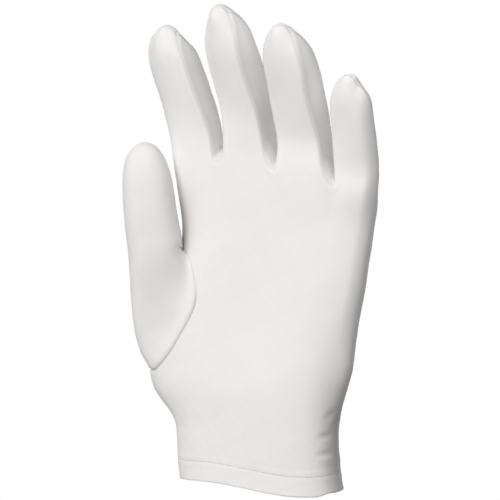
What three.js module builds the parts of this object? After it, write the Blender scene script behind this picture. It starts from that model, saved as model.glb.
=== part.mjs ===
// A thin knitted inspection glove, the left of its pair, filled out as it is in use.
// It is cut and sewn from a palm panel, a back panel, three forks (the side walls between the
// fingers), a thumb and a hem round the mouth. The glove stands on its mouth: +Z runs up to the
// fingertips, the palm faces -Y, the thumb is on the -X side, and the origin is the mouth's centre.
// Every length is in millimetres. A table's columns are shares of the sizes named beside it.
import * as THREE from "three";

// Cloth
const WALL = 1.0; // palm, back, forks and thumb
const HEM_WALL = 1.7; // cloth turned up double at the mouth
const SEAM_GAP = 0.3; // between the edges of neighbouring pieces
const SHARPEST_STEP = 3; // most that a pointed edge of a piece steps back, in half seam gaps

// Body of the glove
const PALM_HEIGHT = 147; // from the mouth to the crotches of the fingers
const PALM_BREADTH = 97; // across the knuckles
const PALM_DEPTH = 27; // front to back at the knuckles
const HEM_HEIGHT = 9.5;
const MOUTH_SLANT = 7; // how much higher the mouth is on the thumb side
const MOUTH_SAG = 3.6; // how far the mouth's palm side hangs below its ends
const CROTCH_DIP = 1.6; // how far a crotch sags under the finger roots beside it

// Fingers: reach is the height of the tip above the root, width and depth are of the finger's tube
const INDEX_REACH = 63.2;
const INDEX_WIDTH = 20.4;
const INDEX_DEPTH = 19;
const MIDDLE_REACH = 67.8;
const MIDDLE_WIDTH = 18.6;
const MIDDLE_DEPTH = 20.5;
const RING_REACH = 66.4;
const RING_WIDTH = 20.4;
const RING_DEPTH = 20;
const LITTLE_REACH = 51;
const LITTLE_WIDTH = 17.2;
const LITTLE_DEPTH = 16;
const THUMB_REACH = 47; // above the crotch of the thumb
const THUMB_WIDTH = 25.5;
const THUMB_DEPTH = 23;

// Mesh: columns across one finger's face, one fork, one crotch and one edge of the palm
const FACE_COLUMNS = 4;
const FORK_COLUMNS = 3;
const CROTCH_COLUMNS = 2;
const EDGE_COLUMNS = 4;
const EDGE_COLUMNS_IN_PALM = 3; // the side seam lies behind the middle of the edge
const THUMB_BASE_ROWS = 6;

// Outline of the body without its thumb. up: share of PALM_HEIGHT. left, right: of PALM_BREADTH,
// from the origin. front, back: of PALM_DEPTH, from the origin. squareness: exponent of the
// section's curve, where 2 is an ellipse and more is squarer.
const BODY_SECTIONS = [
  { up: 0.0, left: -0.414, right: 0.418, front: 0.72, back: 0.68, squareness: 2.1 },
  { up: 0.065, left: -0.428, right: 0.402, front: 0.7, back: 0.66, squareness: 2.1 },
  { up: 0.18, left: -0.438, right: 0.396, front: 0.68, back: 0.63, squareness: 2.15 },
  { up: 0.26, left: -0.502, right: 0.424, front: 0.65, back: 0.58, squareness: 2.3 },
  { up: 0.33, left: -0.566, right: 0.457, front: 0.62, back: 0.54, squareness: 2.45 },
  { up: 0.38, left: -0.575, right: 0.475, front: 0.575, back: 0.52, squareness: 2.5 },
  { up: 0.52, left: -0.5, right: 0.503, front: 0.555, back: 0.52, squareness: 2.6 },
  { up: 0.64, left: -0.42, right: 0.536, front: 0.53, back: 0.51, squareness: 2.6 },
  { up: 0.77, left: -0.402, right: 0.56, front: 0.5, back: 0.5, squareness: 2.6 },
  { up: 0.9, left: -0.403, right: 0.59, front: 0.48, back: 0.5, squareness: 2.6 },
  { up: 1.0, left: -0.408, right: 0.6, front: 0.46, back: 0.48, squareness: 2.6 },
];
const SAG_CENTRE = 0.28; // share of PALM_BREADTH at which the mouth sags most
const MOUTH_FADE_FROM = 0.07; // share of PALM_HEIGHT where slant and sag start to fade
const MOUTH_FADE_TO = 0.3; // share of PALM_HEIGHT where both are gone
const EDGE_START = 0.93; // share of the half breadth where a face turns into the glove's edge

// Rows of the body's mesh, as shares of PALM_HEIGHT. The thumb's opening starts and ends at two.
const ROWS_BELOW_THUMB = [0.09, 0.115, 0.14, 0.165, 0.19, 0.22, 0.26, 0.31];
const ROWS_BESIDE_THUMB = [0.37, 0.425, 0.48, 0.535, 0.59, 0.645, 0.7, 0.755];
const ROWS_ABOVE_THUMB = [0.815, 0.875, 0.94, 1.0];
const FINGERS_FADE_FROM = 0.83; // above this share the body takes on the shape of the finger roots
const FADE_SOFTNESS = 0.6; // 0 fades in at a steady rate, 1 eases in and out
const COLUMNS_FAN_TO = 0.9; // share of PALM_HEIGHT by which the columns lie under the finger roots

// Dents in the palm's face, each an ellipse that fades to its rim. across: place and half breadth
// as shares of PALM_BREADTH. up, tall: place and half height as shares of PALM_HEIGHT. lean:
// degrees that its top leans towards the little finger. deep: share of PALM_DEPTH, less than 0 for
// a swelling. In order: the hollow of the palm, the slope below the heel of the palm, the upper
// fold at the wrist, the swelling over the hem and the lower fold at the wrist.
const DENTS = [
  { across: 0.03, up: 0.58, wide: 0.3, tall: 0.34, lean: 8, deep: 0.06 },
  { across: 0.47, up: 0.2, wide: 0.19, tall: 0.36, lean: 15, deep: 0.2 },
  { across: 0.35, up: 0.165, wide: 0.13, tall: 0.035, lean: 0, deep: 0.05 },
  { across: 0.35, up: 0.125, wide: 0.13, tall: 0.04, lean: 0, deep: -0.04 },
  { across: 0.36, up: 0.09, wide: 0.12, tall: 0.03, lean: 0, deep: 0.05 },
];

// Seam of the thumb on the palm and on the back. up: share of PALM_HEIGHT. front, back: of
// PALM_BREADTH, from the origin.
const THUMB_SEAM = [
  { up: 0.37, front: -0.51, back: -0.5 },
  { up: 0.42, front: -0.438, back: -0.47 },
  { up: 0.48, front: -0.378, back: -0.44 },
  { up: 0.535, front: -0.328, back: -0.415 },
  { up: 0.585, front: -0.296, back: -0.4 },
  { up: 0.64, front: -0.3, back: -0.395 },
  { up: 0.7, front: -0.322, back: -0.39 },
  { up: 0.755, front: -0.368, back: -0.39 },
];

// Finger roots. left, right: edges of the root, as shares of PALM_BREADTH from the origin.
// up: share of PALM_HEIGHT. forward: share of PALM_DEPTH. twist: degrees the finger's face turns
// towards the thumb, at its root and at its tip.
// Path of each finger. up, across, forward: shares of its reach, from its root.
const FINGERS = [
  {
    name: "index",
    reach: INDEX_REACH,
    width: INDEX_WIDTH,
    depth: INDEX_DEPTH,
    root: { left: -0.411, right: -0.202, up: 1.05, forward: 0.134 },
    twist: { root: 3, tip: 14 },
    path: [
      { up: 0.0, across: 0.0, forward: 0.0 },
      { up: 0.21, across: -0.025, forward: 0.035 },
      { up: 0.45, across: -0.07, forward: 0.104 },
      { up: 0.68, across: -0.124, forward: 0.187 },
      { up: 0.86, across: -0.158, forward: 0.252 },
      { up: 1.0, across: -0.152, forward: 0.3 },
    ],
  },
  {
    name: "middle",
    reach: MIDDLE_REACH,
    width: MIDDLE_WIDTH,
    depth: MIDDLE_DEPTH,
    root: { left: -0.147, right: 0.076, up: 1.075, forward: 0.162 },
    twist: { root: 14, tip: 18 },
    path: [
      { up: 0.0, across: 0.0, forward: 0.0 },
      { up: 0.28, across: 0.0, forward: 0.071 },
      { up: 0.49, across: -0.021, forward: 0.162 },
      { up: 0.69, across: -0.048, forward: 0.263 },
      { up: 0.85, across: -0.068, forward: 0.335 },
      { up: 1.0, across: -0.1, forward: 0.426 },
    ],
  },
  {
    name: "ring",
    reach: RING_REACH,
    width: RING_WIDTH,
    depth: RING_DEPTH,
    root: { left: 0.125, right: 0.372, up: 1.02, forward: 0.149 },
    twist: { root: 11, tip: 12 },
    path: [
      { up: 0.0, across: 0.0, forward: 0.0 },
      { up: 0.2, across: 0.003, forward: 0.024 },
      { up: 0.47, across: -0.007, forward: 0.138 },
      { up: 0.65, across: -0.011, forward: 0.236 },
      { up: 0.82, across: -0.031, forward: 0.332 },
      { up: 1.0, across: -0.056, forward: 0.439 },
    ],
  },
  {
    name: "little",
    reach: LITTLE_REACH,
    width: LITTLE_WIDTH,
    depth: LITTLE_DEPTH,
    root: { left: 0.423, right: 0.593, up: 0.963, forward: 0.18 },
    twist: { root: 10, tip: 14 },
    path: [
      { up: 0.0, across: 0.0, forward: 0.0 },
      { up: 0.15, across: 0.014, forward: 0.02 },
      { up: 0.45, across: 0.028, forward: 0.125 },
      { up: 0.76, across: 0.044, forward: 0.27 },
      { up: 0.915, across: 0.054, forward: 0.354 },
      { up: 1.0, across: 0.071, forward: 0.41 },
    ],
  },
];

// Tube of every finger. up: share of its reach. width: share of its width, which gives way to the
// root's own edges near the root. thick: share of its depth. edge: share of the half depth at
// which the forks are sewn on, 0 above their points. dome: share of the width by which a row's
// ends lie lower than its middle.
const FINGER_SECTIONS = [
  { up: 0.0, width: 1.0, thick: 1.12, edge: 0.9, dome: 0.0 },
  { up: 0.1, width: 1.0, thick: 1.06, edge: 0.87, dome: 0.0 },
  { up: 0.22, width: 1.0, thick: 1.02, edge: 0.84, dome: 0.0 },
  { up: 0.34, width: 1.0, thick: 1.0, edge: 0.81, dome: 0.0 },
  { up: 0.46, width: 1.0, thick: 0.98, edge: 0.78, dome: 0.0 },
  { up: 0.58, width: 1.0, thick: 0.96, edge: 0.77, dome: 0.0 },
  { up: 0.69, width: 1.0, thick: 0.93, edge: 0.74, dome: 0.0 },
  { up: 0.78, width: 0.98, thick: 0.89, edge: 0.68, dome: 0.01 },
  { up: 0.855, width: 0.9, thick: 0.81, edge: 0.57, dome: 0.03 },
  { up: 0.92, width: 0.77, thick: 0.67, edge: 0.36, dome: 0.06 },
  { up: 0.97, width: 0.59, thick: 0.46, edge: 0.0, dome: 0.09 },
  { up: 1.0, width: 0.42, thick: 0.0, edge: 0.0, dome: 0.08 },
];
const FORK_TOP_ROW = FINGER_SECTIONS.findIndex((row) => row.edge === 0);
const TWIST_DONE_BY = 0.6; // share of the reach where a finger has its tip's twist
const ROOT_FLARE_TO = 0.16; // share of the reach where a finger is down to its own width
const PATH_STEP = 0.02; // share of a reach over which a path's direction is taken
const FORK_BULGE = 0.04; // share of the finger's width that a fork swells out
const EDGE_BULGE = 0.19; // the same at the open edges of the glove
const EDGE_TUCK = 0.07; // share of the finger's width that its face stops short of an open edge
const WEB_ARCH = 0.16; // share of the finger's width that a crotch's middle rises over its seams

// Thumb. up, across, forward: shares of THUMB_REACH from the root. width, thick: of THUMB_WIDTH
// and THUMB_DEPTH. dome: as for a finger.
const THUMB_ROOT = { across: -0.505, up: 0.785, forward: 0.6 }; // of PALM_BREADTH, _HEIGHT, _DEPTH
const THUMB_TWIST = -34; // degrees, as for a finger
const THUMB_SECTIONS = [
  { up: 0.0, across: 0.0, forward: 0.0, width: 1.02, thick: 1.02, dome: 0.0 },
  { up: 0.14, across: -0.012, forward: 0.03, width: 1.0, thick: 1.01, dome: 0.0 },
  { up: 0.29, across: -0.022, forward: 0.062, width: 0.98, thick: 1.0, dome: 0.0 },
  { up: 0.44, across: -0.028, forward: 0.09, width: 0.96, thick: 0.98, dome: 0.0 },
  { up: 0.58, across: -0.032, forward: 0.115, width: 0.93, thick: 0.94, dome: 0.0 },
  { up: 0.7, across: -0.04, forward: 0.135, width: 0.87, thick: 0.88, dome: 0.0 },
  { up: 0.81, across: -0.05, forward: 0.15, width: 0.77, thick: 0.79, dome: 0.02 },
  { up: 0.9, across: -0.058, forward: 0.163, width: 0.64, thick: 0.65, dome: 0.04 },
  { up: 0.965, across: -0.066, forward: 0.172, width: 0.48, thick: 0.44, dome: 0.06 },
  { up: 1.0, across: -0.072, forward: 0.177, width: 0.34, thick: 0.0, dome: 0.06 },
];
const THUMB_BASE_START = 1.2; // pull of the thumb's base away from its seam, as a share of its run
const THUMB_BASE_END = 0.95; // pull of the thumb's base along the thumb, as a share of its run
const CROTCH_PULL = 0.5; // pull of the thumb's crotch, as a share of the rest of the seam's
const THUMB_BASE_BLEND = 2; // neighbours on each side that share in a point's pull
const THUMB_BASE_SWELL = 0.01; // share of THUMB_WIDTH that the ball of the thumb swells outwards

const CLOTH_COLOUR = 0xebeae8;
const CLOTH_ROUGHNESS = 0.85;

const mix = THREE.MathUtils.lerp;
const clamp = THREE.MathUtils.clamp;
const smooth = THREE.MathUtils.smoothstep;

// Reads one column of a table at a share between its rows, by a cubic that doesn't overshoot.
function read(table, column, up) {
  const last = table.length - 1;
  const at = clamp(up, table[0].up, table[last].up);
  const low = Math.max(0, Math.min(last - 1, table.findIndex((row) => row.up > at) - 1));
  const i = at >= table[last].up ? last - 1 : low;
  const step = (k) => table[k + 1].up - table[k].up;
  const rise = (k) => (table[k + 1][column] - table[k][column]) / step(k);
  const slope = (k) => {
    if (k === 0) return rise(0);
    if (k === last) return rise(last - 1);
    const before = rise(k - 1);
    const after = rise(k);
    if (before * after <= 0) return 0;
    return (before * after * (step(k - 1) + step(k))) / (step(k) * before + step(k - 1) * after);
  };
  const run = step(i);
  const t = (at - table[i].up) / run;
  return (
    table[i][column] * (1 + 2 * t) * (1 - t) ** 2 +
    slope(i) * run * t * (1 - t) ** 2 +
    table[i + 1][column] * t * t * (3 - 2 * t) +
    slope(i + 1) * run * t * t * (t - 1)
  );
}

// The glove's outer surface: welded points, and faces that know which piece they belong to.
const points = [];
const faces = [];
const known = new Map();

function pointIndex(point) {
  const key = point.toArray().map((v) => Math.round(v * 1000)).join();
  if (!known.has(key)) {
    known.set(key, points.length);
    points.push(point.clone());
  }
  return known.get(key);
}

// Adds a patch of columns and rows, seen from outside with its columns running to the right and
// its rows running up. pieceOf names the piece of each column.
function addPatch(pieceOf, columns, rows, place) {
  for (let r = 0; r < rows; r += 1) {
    for (let c = 0; c < columns; c += 1) {
      const corners = [place(c, r), place(c + 1, r), place(c + 1, r + 1), place(c, r + 1)];
      const loop = corners.map(pointIndex).filter((v, k, all) => v !== all[(k + 1) % all.length]);
      faces.push({ piece: pieceOf(c), loop });
    }
  }
}

// A finger's section planes: its centreline, and the directions up, across and out of its face.
function fingerFrame(finger, up) {
  const middle = (finger.root.left + finger.root.right) / 2;
  const centre = (at) =>
    new THREE.Vector3(
      middle * PALM_BREADTH + read(finger.path, "across", at) * finger.reach,
      -(finger.root.forward * PALM_DEPTH + read(finger.path, "forward", at) * finger.reach),
      finger.root.up * PALM_HEIGHT + at * finger.reach,
    );
  const low = centre(Math.max(0, up - PATH_STEP));
  const along = centre(Math.min(1, up + PATH_STEP)).sub(low).normalize();
  const twist = mix(finger.twist.root, finger.twist.tip, smooth(up, 0, TWIST_DONE_BY));
  const turn = THREE.MathUtils.degToRad(twist);
  const out = new THREE.Vector3(-Math.sin(turn), -Math.cos(turn), 0);
  out.addScaledVector(along, -out.dot(along)).normalize();
  const across = new THREE.Vector3().crossVectors(out, along).negate().normalize();
  return { centre: centre(up), along, across, out };
}

// A point of a finger's surface. side runs from -1 to 1 across the face, depth from -1 at the back
// panel's seam to 1 at the palm panel's seam, and face is 1 on the palm, -1 on the back and 0 on a
// side wall.
function fingerPoint(finger, row, side, depth, face) {
  const section = FINGER_SECTIONS[row];
  const frame = fingerFrame(finger, section.up);
  const rootHalf = ((finger.root.right - finger.root.left) / 2) * PALM_BREADTH;
  const ownHalf = (section.width * finger.width) / 2;
  const half = mix(rootHalf, ownHalf, smooth(section.up, 0, ROOT_FLARE_TO));
  const thick = (section.thick * finger.depth) / 2;
  const seam = thick * section.edge;
  const outerEdge =
    (finger === FINGERS[0] && side < 0) || (finger === FINGERS[FINGERS.length - 1] && side > 0);
  const swell = (outerEdge ? EDGE_BULGE : FORK_BULGE) * finger.width * section.edge;
  const tuck = outerEdge ? EDGE_TUCK * finger.width * section.edge : 0;
  const arch = row === 0 && !face && !outerEdge ? WEB_ARCH * (1 - depth * depth) : 0;
  const out = face * (seam + (thick - seam) * (1 - side * side)) + (face ? 0 : depth * seam);
  const reach = side * (half - tuck) + (face ? 0 : Math.sign(side) * swell * (1 - depth * depth));
  return frame.centre
    .addScaledVector(frame.across, reach)
    .addScaledVector(frame.out, out)
    .addScaledVector(frame.along, (arch - section.dome * side * side) * finger.width);
}

// Columns of the body's front, from the thumb's side: four faces with three crotches between.
const BODY_COLUMNS = FINGERS.length * FACE_COLUMNS + (FINGERS.length - 1) * CROTCH_COLUMNS;
const FINGER_STRIDE = FACE_COLUMNS + CROTCH_COLUMNS;

// The top of one column of the body, on the palm (face 1) or on the back (face -1).
function rootPoint(column, face) {
  const k = Math.min(FINGERS.length - 1, Math.floor(column / FINGER_STRIDE));
  const within = column - k * FINGER_STRIDE;
  if (within <= FACE_COLUMNS) {
    return fingerPoint(FINGERS[k], 0, (2 * within) / FACE_COLUMNS - 1, face, face);
  }
  return crotchPoint(k, (within - FACE_COLUMNS) / CROTCH_COLUMNS, face);
}

// A point of the crotch between finger k and the next. share runs from the one to the other.
function crotchPoint(k, share, depth) {
  const from = fingerPoint(FINGERS[k], 0, 1, depth, 0);
  const to = fingerPoint(FINGERS[k + 1], 0, -1, depth, 0);
  const point = from.lerp(to, share);
  point.z -= CROTCH_DIP * 4 * share * (1 - share);
  return point;
}

// The body's section at a height, as X limits and depths to the front and to the back.
function bodySection(up) {
  const left = read(BODY_SECTIONS, "left", up) * PALM_BREADTH;
  const right = read(BODY_SECTIONS, "right", up) * PALM_BREADTH;
  return {
    middle: (left + right) / 2,
    half: (right - left) / 2,
    front: read(BODY_SECTIONS, "front", up) * PALM_DEPTH,
    back: read(BODY_SECTIONS, "back", up) * PALM_DEPTH,
    squareness: read(BODY_SECTIONS, "squareness", up),
  };
}

const roundOff = (share, squareness) =>
  Math.max(0, 1 - Math.abs(share) ** squareness) ** (1 / squareness);

const ROWS = [0, HEM_HEIGHT / PALM_HEIGHT, ...ROWS_BELOW_THUMB, ...ROWS_BESIDE_THUMB, ...ROWS_ABOVE_THUMB];
const HEM_ROWS = 1;
const THUMB_FIRST_ROW = HEM_ROWS + 1 + ROWS_BELOW_THUMB.length;
const THUMB_LAST_ROW = THUMB_FIRST_ROW + ROWS_BESIDE_THUMB.length - 1;
const LAST_ROW = ROWS.length - 1;

// Height of a place on the body. The mouth's slant, and the sag of its front half, fade out
// above the wrist.
function bodyHeight(up, x, front) {
  const slant = (-x / PALM_BREADTH) * MOUTH_SLANT;
  const sag = -MOUTH_SAG * Math.max(0, front) * Math.cos(Math.PI * (x / PALM_BREADTH - SAG_CENTRE)) ** 2;
  return up * PALM_HEIGHT + (slant + sag) * (1 - smooth(up, MOUTH_FADE_FROM, MOUTH_FADE_TO));
}

const isBesideThumb = (row) => row >= THUMB_FIRST_ROW && row <= THUMB_LAST_ROW;

// Where a face of the body starts on the thumb's side and ends on the little finger's side.
function faceLimits(row, face) {
  const up = ROWS[row];
  const section = bodySection(up);
  const left = isBesideThumb(row)
    ? read(THUMB_SEAM, face > 0 ? "front" : "back", up) * PALM_BREADTH
    : section.middle - section.half * EDGE_START;
  return { left, right: section.middle + section.half * EDGE_START };
}

function faceShare(column, up, face) {
  const first = rootPoint(0, face).x;
  const last = rootPoint(BODY_COLUMNS, face).x;
  const atRoot = (rootPoint(column, face).x - first) / (last - first);
  return mix(column / BODY_COLUMNS, atRoot, smooth(up, 0, COLUMNS_FAN_TO));
}

// How far the dents push the palm's face in at a place.
function dentDepth(x, up) {
  return DENTS.reduce((total, dent) => {
    const lean = THREE.MathUtils.degToRad(dent.lean);
    const right = x - dent.across * PALM_BREADTH;
    const above = (up - dent.up) * PALM_HEIGHT;
    const sideways = right * Math.cos(lean) - above * Math.sin(lean);
    const lengthways = right * Math.sin(lean) + above * Math.cos(lean);
    const reach = Math.hypot(sideways / (dent.wide * PALM_BREADTH), lengthways / (dent.tall * PALM_HEIGHT));
    return total + dent.deep * PALM_DEPTH * Math.max(0, 1 - reach ** 2) ** 2;
  }, 0);
}

// A point of the palm (face 1) or of the back (face -1), before the finger roots shape it.
function plainFacePoint(row, column, face) {
  const up = ROWS[row];
  const section = bodySection(up);
  const limits = faceLimits(row, face);
  const x = mix(limits.left, limits.right, faceShare(column, up, face));
  const depth = roundOff((x - section.middle) / section.half, section.squareness);
  const y = face > 0 ? dentDepth(x, up) - depth * section.front : depth * section.back;
  return new THREE.Vector3(x, y, bodyHeight(up, x, face > 0 ? depth : 0));
}

// Share of the finger roots' shape that the body has taken on at a height.
const ramp = (up) => clamp((up - FINGERS_FADE_FROM) / (1 - FINGERS_FADE_FROM), 0, 1);

function facePoint(row, column, face) {
  if (row === LAST_ROW) return rootPoint(column, face);
  const pull = rootPoint(column, face).sub(plainFacePoint(LAST_ROW, column, face));
  const share = mix(ramp(ROWS[row]), smooth(ROWS[row], FINGERS_FADE_FROM, 1), FADE_SOFTNESS);
  return plainFacePoint(row, column, face).addScaledVector(pull, share);
}

// A point of the glove's edge. side is -1 on the thumb's side and 1 on the little finger's side,
// depth runs from 1 at the palm to -1 at the back.
function edgePoint(row, side, depth) {
  const column = side < 0 ? 0 : BODY_COLUMNS;
  if (Math.abs(depth) === 1) return facePoint(row, column, depth);
  const finger = side < 0 ? FINGERS[0] : FINGERS[FINGERS.length - 1];
  if (row === LAST_ROW) return fingerPoint(finger, 0, side, depth, 0);
  const front = facePoint(row, column, 1);
  const back = facePoint(row, column, -1);
  const section = bodySection(ROWS[row]);
  const chord = front.clone().lerp(back, (1 - depth) / 2);
  const ownReach = section.half * (1 - EDGE_START);
  const seamReach = Math.abs(section.middle - section.half - chord.x);
  const toOutline = side < 0 && isBesideThumb(row) ? seamReach : ownReach;
  const edgeDepthShare = roundOff(EDGE_START, section.squareness);
  const curve = roundOff(depth * edgeDepthShare, section.squareness);
  const plainSwell = ((curve - EDGE_START) / (1 - EDGE_START)) * toOutline;
  const rootSwell = EDGE_BULGE * finger.width * FINGER_SECTIONS[0].edge * (1 - depth * depth);
  chord.x += side * mix(plainSwell, rootSwell, ramp(ROWS[row]));
  return chord;
}

// Depth of a column of the glove's edge, counted from the palm.
const edgeDepth = (c) => 1 - (2 * c) / EDGE_COLUMNS;

function addBody() {
  for (let row = 0; row < LAST_ROW; row += 1) {
    const palm = row < HEM_ROWS ? "cuff_hem" : "palm_panel";
    const back = row < HEM_ROWS ? "cuff_hem" : "back_panel";
    const edgePiece = (c) => (c < EDGE_COLUMNS_IN_PALM ? palm : back);
    addPatch(() => palm, BODY_COLUMNS, 1, (c, r) => facePoint(row + r, c, 1));
    addPatch(() => back, BODY_COLUMNS, 1, (c, r) => facePoint(row + r, BODY_COLUMNS - c, -1));
    addPatch(edgePiece, EDGE_COLUMNS, 1, (c, r) => edgePoint(row + r, 1, edgeDepth(c)));
    if (row < THUMB_FIRST_ROW || row >= THUMB_LAST_ROW) {
      const pieceFromBack = (c) => edgePiece(EDGE_COLUMNS - 1 - c);
      const place = (c, r) => edgePoint(row + r, -1, edgeDepth(EDGE_COLUMNS - c));
      addPatch(pieceFromBack, EDGE_COLUMNS, 1, place);
    }
  }
}

function addFinger(k) {
  const finger = FINGERS[k];
  const rows = FINGER_SECTIONS.length - 1;
  const sideAt = (c) => (2 * c) / FACE_COLUMNS - 1;
  addPatch(() => "palm_panel", FACE_COLUMNS, rows, (c, r) => fingerPoint(finger, r, sideAt(c), 1, 1));
  addPatch(() => "back_panel", FACE_COLUMNS, rows, (c, r) => fingerPoint(finger, r, -sideAt(c), -1, -1));
  for (const side of [-1, 1]) {
    const forkIndex = side > 0 ? k : k - 1;
    const open = forkIndex < 0 || forkIndex === FINGERS.length - 1;
    const columns = open ? EDGE_COLUMNS : FORK_COLUMNS;
    const fromFront = (c) => (side > 0 ? c : columns - c);
    const piece = (c) => {
      if (!open) return forkName(forkIndex);
      const nearPalm = side > 0 ? c : columns - 1 - c;
      return nearPalm < EDGE_COLUMNS_IN_PALM ? "palm_panel" : "back_panel";
    };
    const place = (c, r) => fingerPoint(finger, r, side, 1 - (2 * fromFront(c)) / columns, 0);
    addPatch(piece, columns, FORK_TOP_ROW, place);
  }
}

const forkName = (k) => `fork_${FINGERS[k].name}_${FINGERS[k + 1].name}`;

function addCrotch(k) {
  const depthAt = (r) => 1 - (2 * r) / FORK_COLUMNS;
  const place = (c, r) => crotchPoint(k, c / CROTCH_COLUMNS, depthAt(r));
  addPatch(() => forkName(k), CROTCH_COLUMNS, FORK_COLUMNS, place);
}

// The thumb's opening in the body, as a ring that runs up the palm, over the top to the back, down
// the back and round under the thumb.
function thumbOpening() {
  const ring = [];
  for (let r = THUMB_FIRST_ROW; r < THUMB_LAST_ROW; r += 1) {
    ring.push({ rim: facePoint(r, 0, 1), behind: facePoint(r, 1, 1), pull: 1 });
  }
  for (let c = 0; c <= EDGE_COLUMNS; c += 1) {
    const rim = edgePoint(THUMB_LAST_ROW, -1, edgeDepth(c));
    ring.push({ rim, behind: edgePoint(THUMB_LAST_ROW + 1, -1, edgeDepth(c)), pull: CROTCH_PULL });
  }
  for (let r = THUMB_LAST_ROW - 1; r >= THUMB_FIRST_ROW; r -= 1) {
    ring.push({ rim: facePoint(r, 0, -1), behind: facePoint(r, 1, -1), pull: 1 });
  }
  for (let c = EDGE_COLUMNS - 1; c > 0; c -= 1) {
    const rim = edgePoint(THUMB_FIRST_ROW, -1, edgeDepth(c));
    ring.push({ rim, behind: edgePoint(THUMB_FIRST_ROW - 1, -1, edgeDepth(c)), pull: 1 });
  }
  return ring;
}

function thumbCentre(up) {
  return new THREE.Vector3(
    THUMB_ROOT.across * PALM_BREADTH + read(THUMB_SECTIONS, "across", up) * THUMB_REACH,
    -(THUMB_ROOT.forward * PALM_DEPTH + read(THUMB_SECTIONS, "forward", up) * THUMB_REACH),
    THUMB_ROOT.up * PALM_HEIGHT + up * THUMB_REACH,
  );
}

// A point of the thumb's tube. turn runs round it from its outer side, over its face.
function thumbPoint(section, turn) {
  const low = thumbCentre(Math.max(0, section.up - PATH_STEP));
  const along = thumbCentre(Math.min(1, section.up + PATH_STEP)).sub(low).normalize();
  const twist = THREE.MathUtils.degToRad(THUMB_TWIST);
  const out = new THREE.Vector3(-Math.sin(twist), -Math.cos(twist), 0);
  out.addScaledVector(along, -out.dot(along)).normalize();
  const across = new THREE.Vector3().crossVectors(out, along).negate().normalize();
  const side = -Math.cos(turn);
  return thumbCentre(section.up)
    .addScaledVector(across, (side * section.width * THUMB_WIDTH) / 2)
    .addScaledVector(out, (Math.sin(turn) * section.thick * THUMB_DEPTH) / 2)
    .addScaledVector(along, -section.dome * THUMB_WIDTH * side * side);
}

function addThumb() {
  const opening = thumbOpening();
  const columns = opening.length;
  const outerColumn = -EDGE_COLUMNS / 2;
  const turnAt = (c) => (2 * Math.PI * (c - outerColumn)) / columns;
  const tube = (c, r) => {
    // The last row folds flat, so its two halves have to be the same points.
    const turn = turnAt(c);
    if (r < THUMB_SECTIONS.length - 1) return thumbPoint(THUMB_SECTIONS[r], turn);
    return thumbPoint(THUMB_SECTIONS[r], Math.acos(clamp(Math.cos(turn), -1, 1)));
  };
  // The body's own direction at the seam, averaged with its neighbours.
  const pullAt = (c) => {
    const sum = new THREE.Vector3();
    for (let k = c - THUMB_BASE_BLEND; k <= c + THUMB_BASE_BLEND; k += 1) {
      const { rim, behind, pull } = opening[(k + columns) % columns];
      sum.addScaledVector(rim.clone().sub(behind).normalize(), pull);
    }
    return sum.divideScalar(2 * THUMB_BASE_BLEND + 1);
  };
  const base = (c, r) => {
    const { rim } = opening[c];
    if (r === 0) return rim;
    const end = tube(c, 0);
    if (r === THUMB_BASE_ROWS) return end;
    const t = r / THUMB_BASE_ROWS;
    const run = end.distanceTo(rim);
    const leave = pullAt(c).multiplyScalar(run * THUMB_BASE_START);
    const arrive = tube(c, 1).sub(end).setLength(run * THUMB_BASE_END);
    const outwards = end.clone().sub(thumbCentre(0)).normalize();
    const swell = THUMB_BASE_SWELL * THUMB_WIDTH * Math.sin(Math.PI * t) * (0.5 + 0.5 * Math.cos(turnAt(c)));
    return new THREE.Vector3()
      .addScaledVector(rim, (1 + 2 * t) * (1 - t) ** 2)
      .addScaledVector(leave, t * (1 - t) ** 2)
      .addScaledVector(end, t * t * (3 - 2 * t))
      .addScaledVector(arrive, t * t * (t - 1))
      .addScaledVector(outwards, swell);
  };
  addPatch(() => "thumb", columns, THUMB_BASE_ROWS, (c, r) => base(c % columns, r));
  addPatch(() => "thumb", columns, THUMB_SECTIONS.length - 1, (c, r) => tube(c % columns, r));
}

addBody();
FINGERS.forEach((finger, k) => addFinger(k));
for (let k = 0; k < FINGERS.length - 1; k += 1) addCrotch(k);
addThumb();

// Outward normals of the whole surface, so that neighbouring pieces share the line between walls.
function faceNormal(loop) {
  const normal = new THREE.Vector3();
  for (let k = 1; k < loop.length - 1; k += 1) {
    const first = points[loop[k]].clone().sub(points[loop[0]]);
    normal.add(first.cross(points[loop[k + 1]].clone().sub(points[loop[0]])));
  }
  return normal;
}
const normals = points.map(() => new THREE.Vector3());
for (const { loop } of faces) {
  const normal = faceNormal(loop);
  loop.forEach((v) => normals[v].add(normal));
}
normals.forEach((normal) => normal.normalize());

// Steps from a piece's edge into the piece, square to the edge, for half the gap of a seam. A
// pointed end steps back by no more than SHARPEST_STEP half gaps.
function stepsFromEdge(pieceFaces) {
  const edges = new Map();
  for (const { loop } of pieceFaces) {
    loop.forEach((a, k) => edges.set(`${a}_${loop[(k + 1) % loop.length]}`, loop));
  }
  const inward = new Map();
  const rim = [];
  for (const [key, loop] of edges) {
    const [a, b] = key.split("_").map(Number);
    if (edges.has(`${b}_${a}`)) continue;
    rim.push([a, b]);
    const step = faceNormal(loop).cross(points[b].clone().sub(points[a])).normalize();
    for (const v of [a, b]) inward.set(v, [...(inward.get(v) ?? []), step]);
  }
  const steps = new Map();
  for (const [v, pair] of inward) {
    const sum = pair.reduce((total, step) => total.add(step), new THREE.Vector3());
    const squared = Math.max(sum.lengthSq() / 2, 1 / SHARPEST_STEP);
    steps.set(v, sum.multiplyScalar(SEAM_GAP / 2 / squared));
  }
  return { rim, steps };
}

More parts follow.
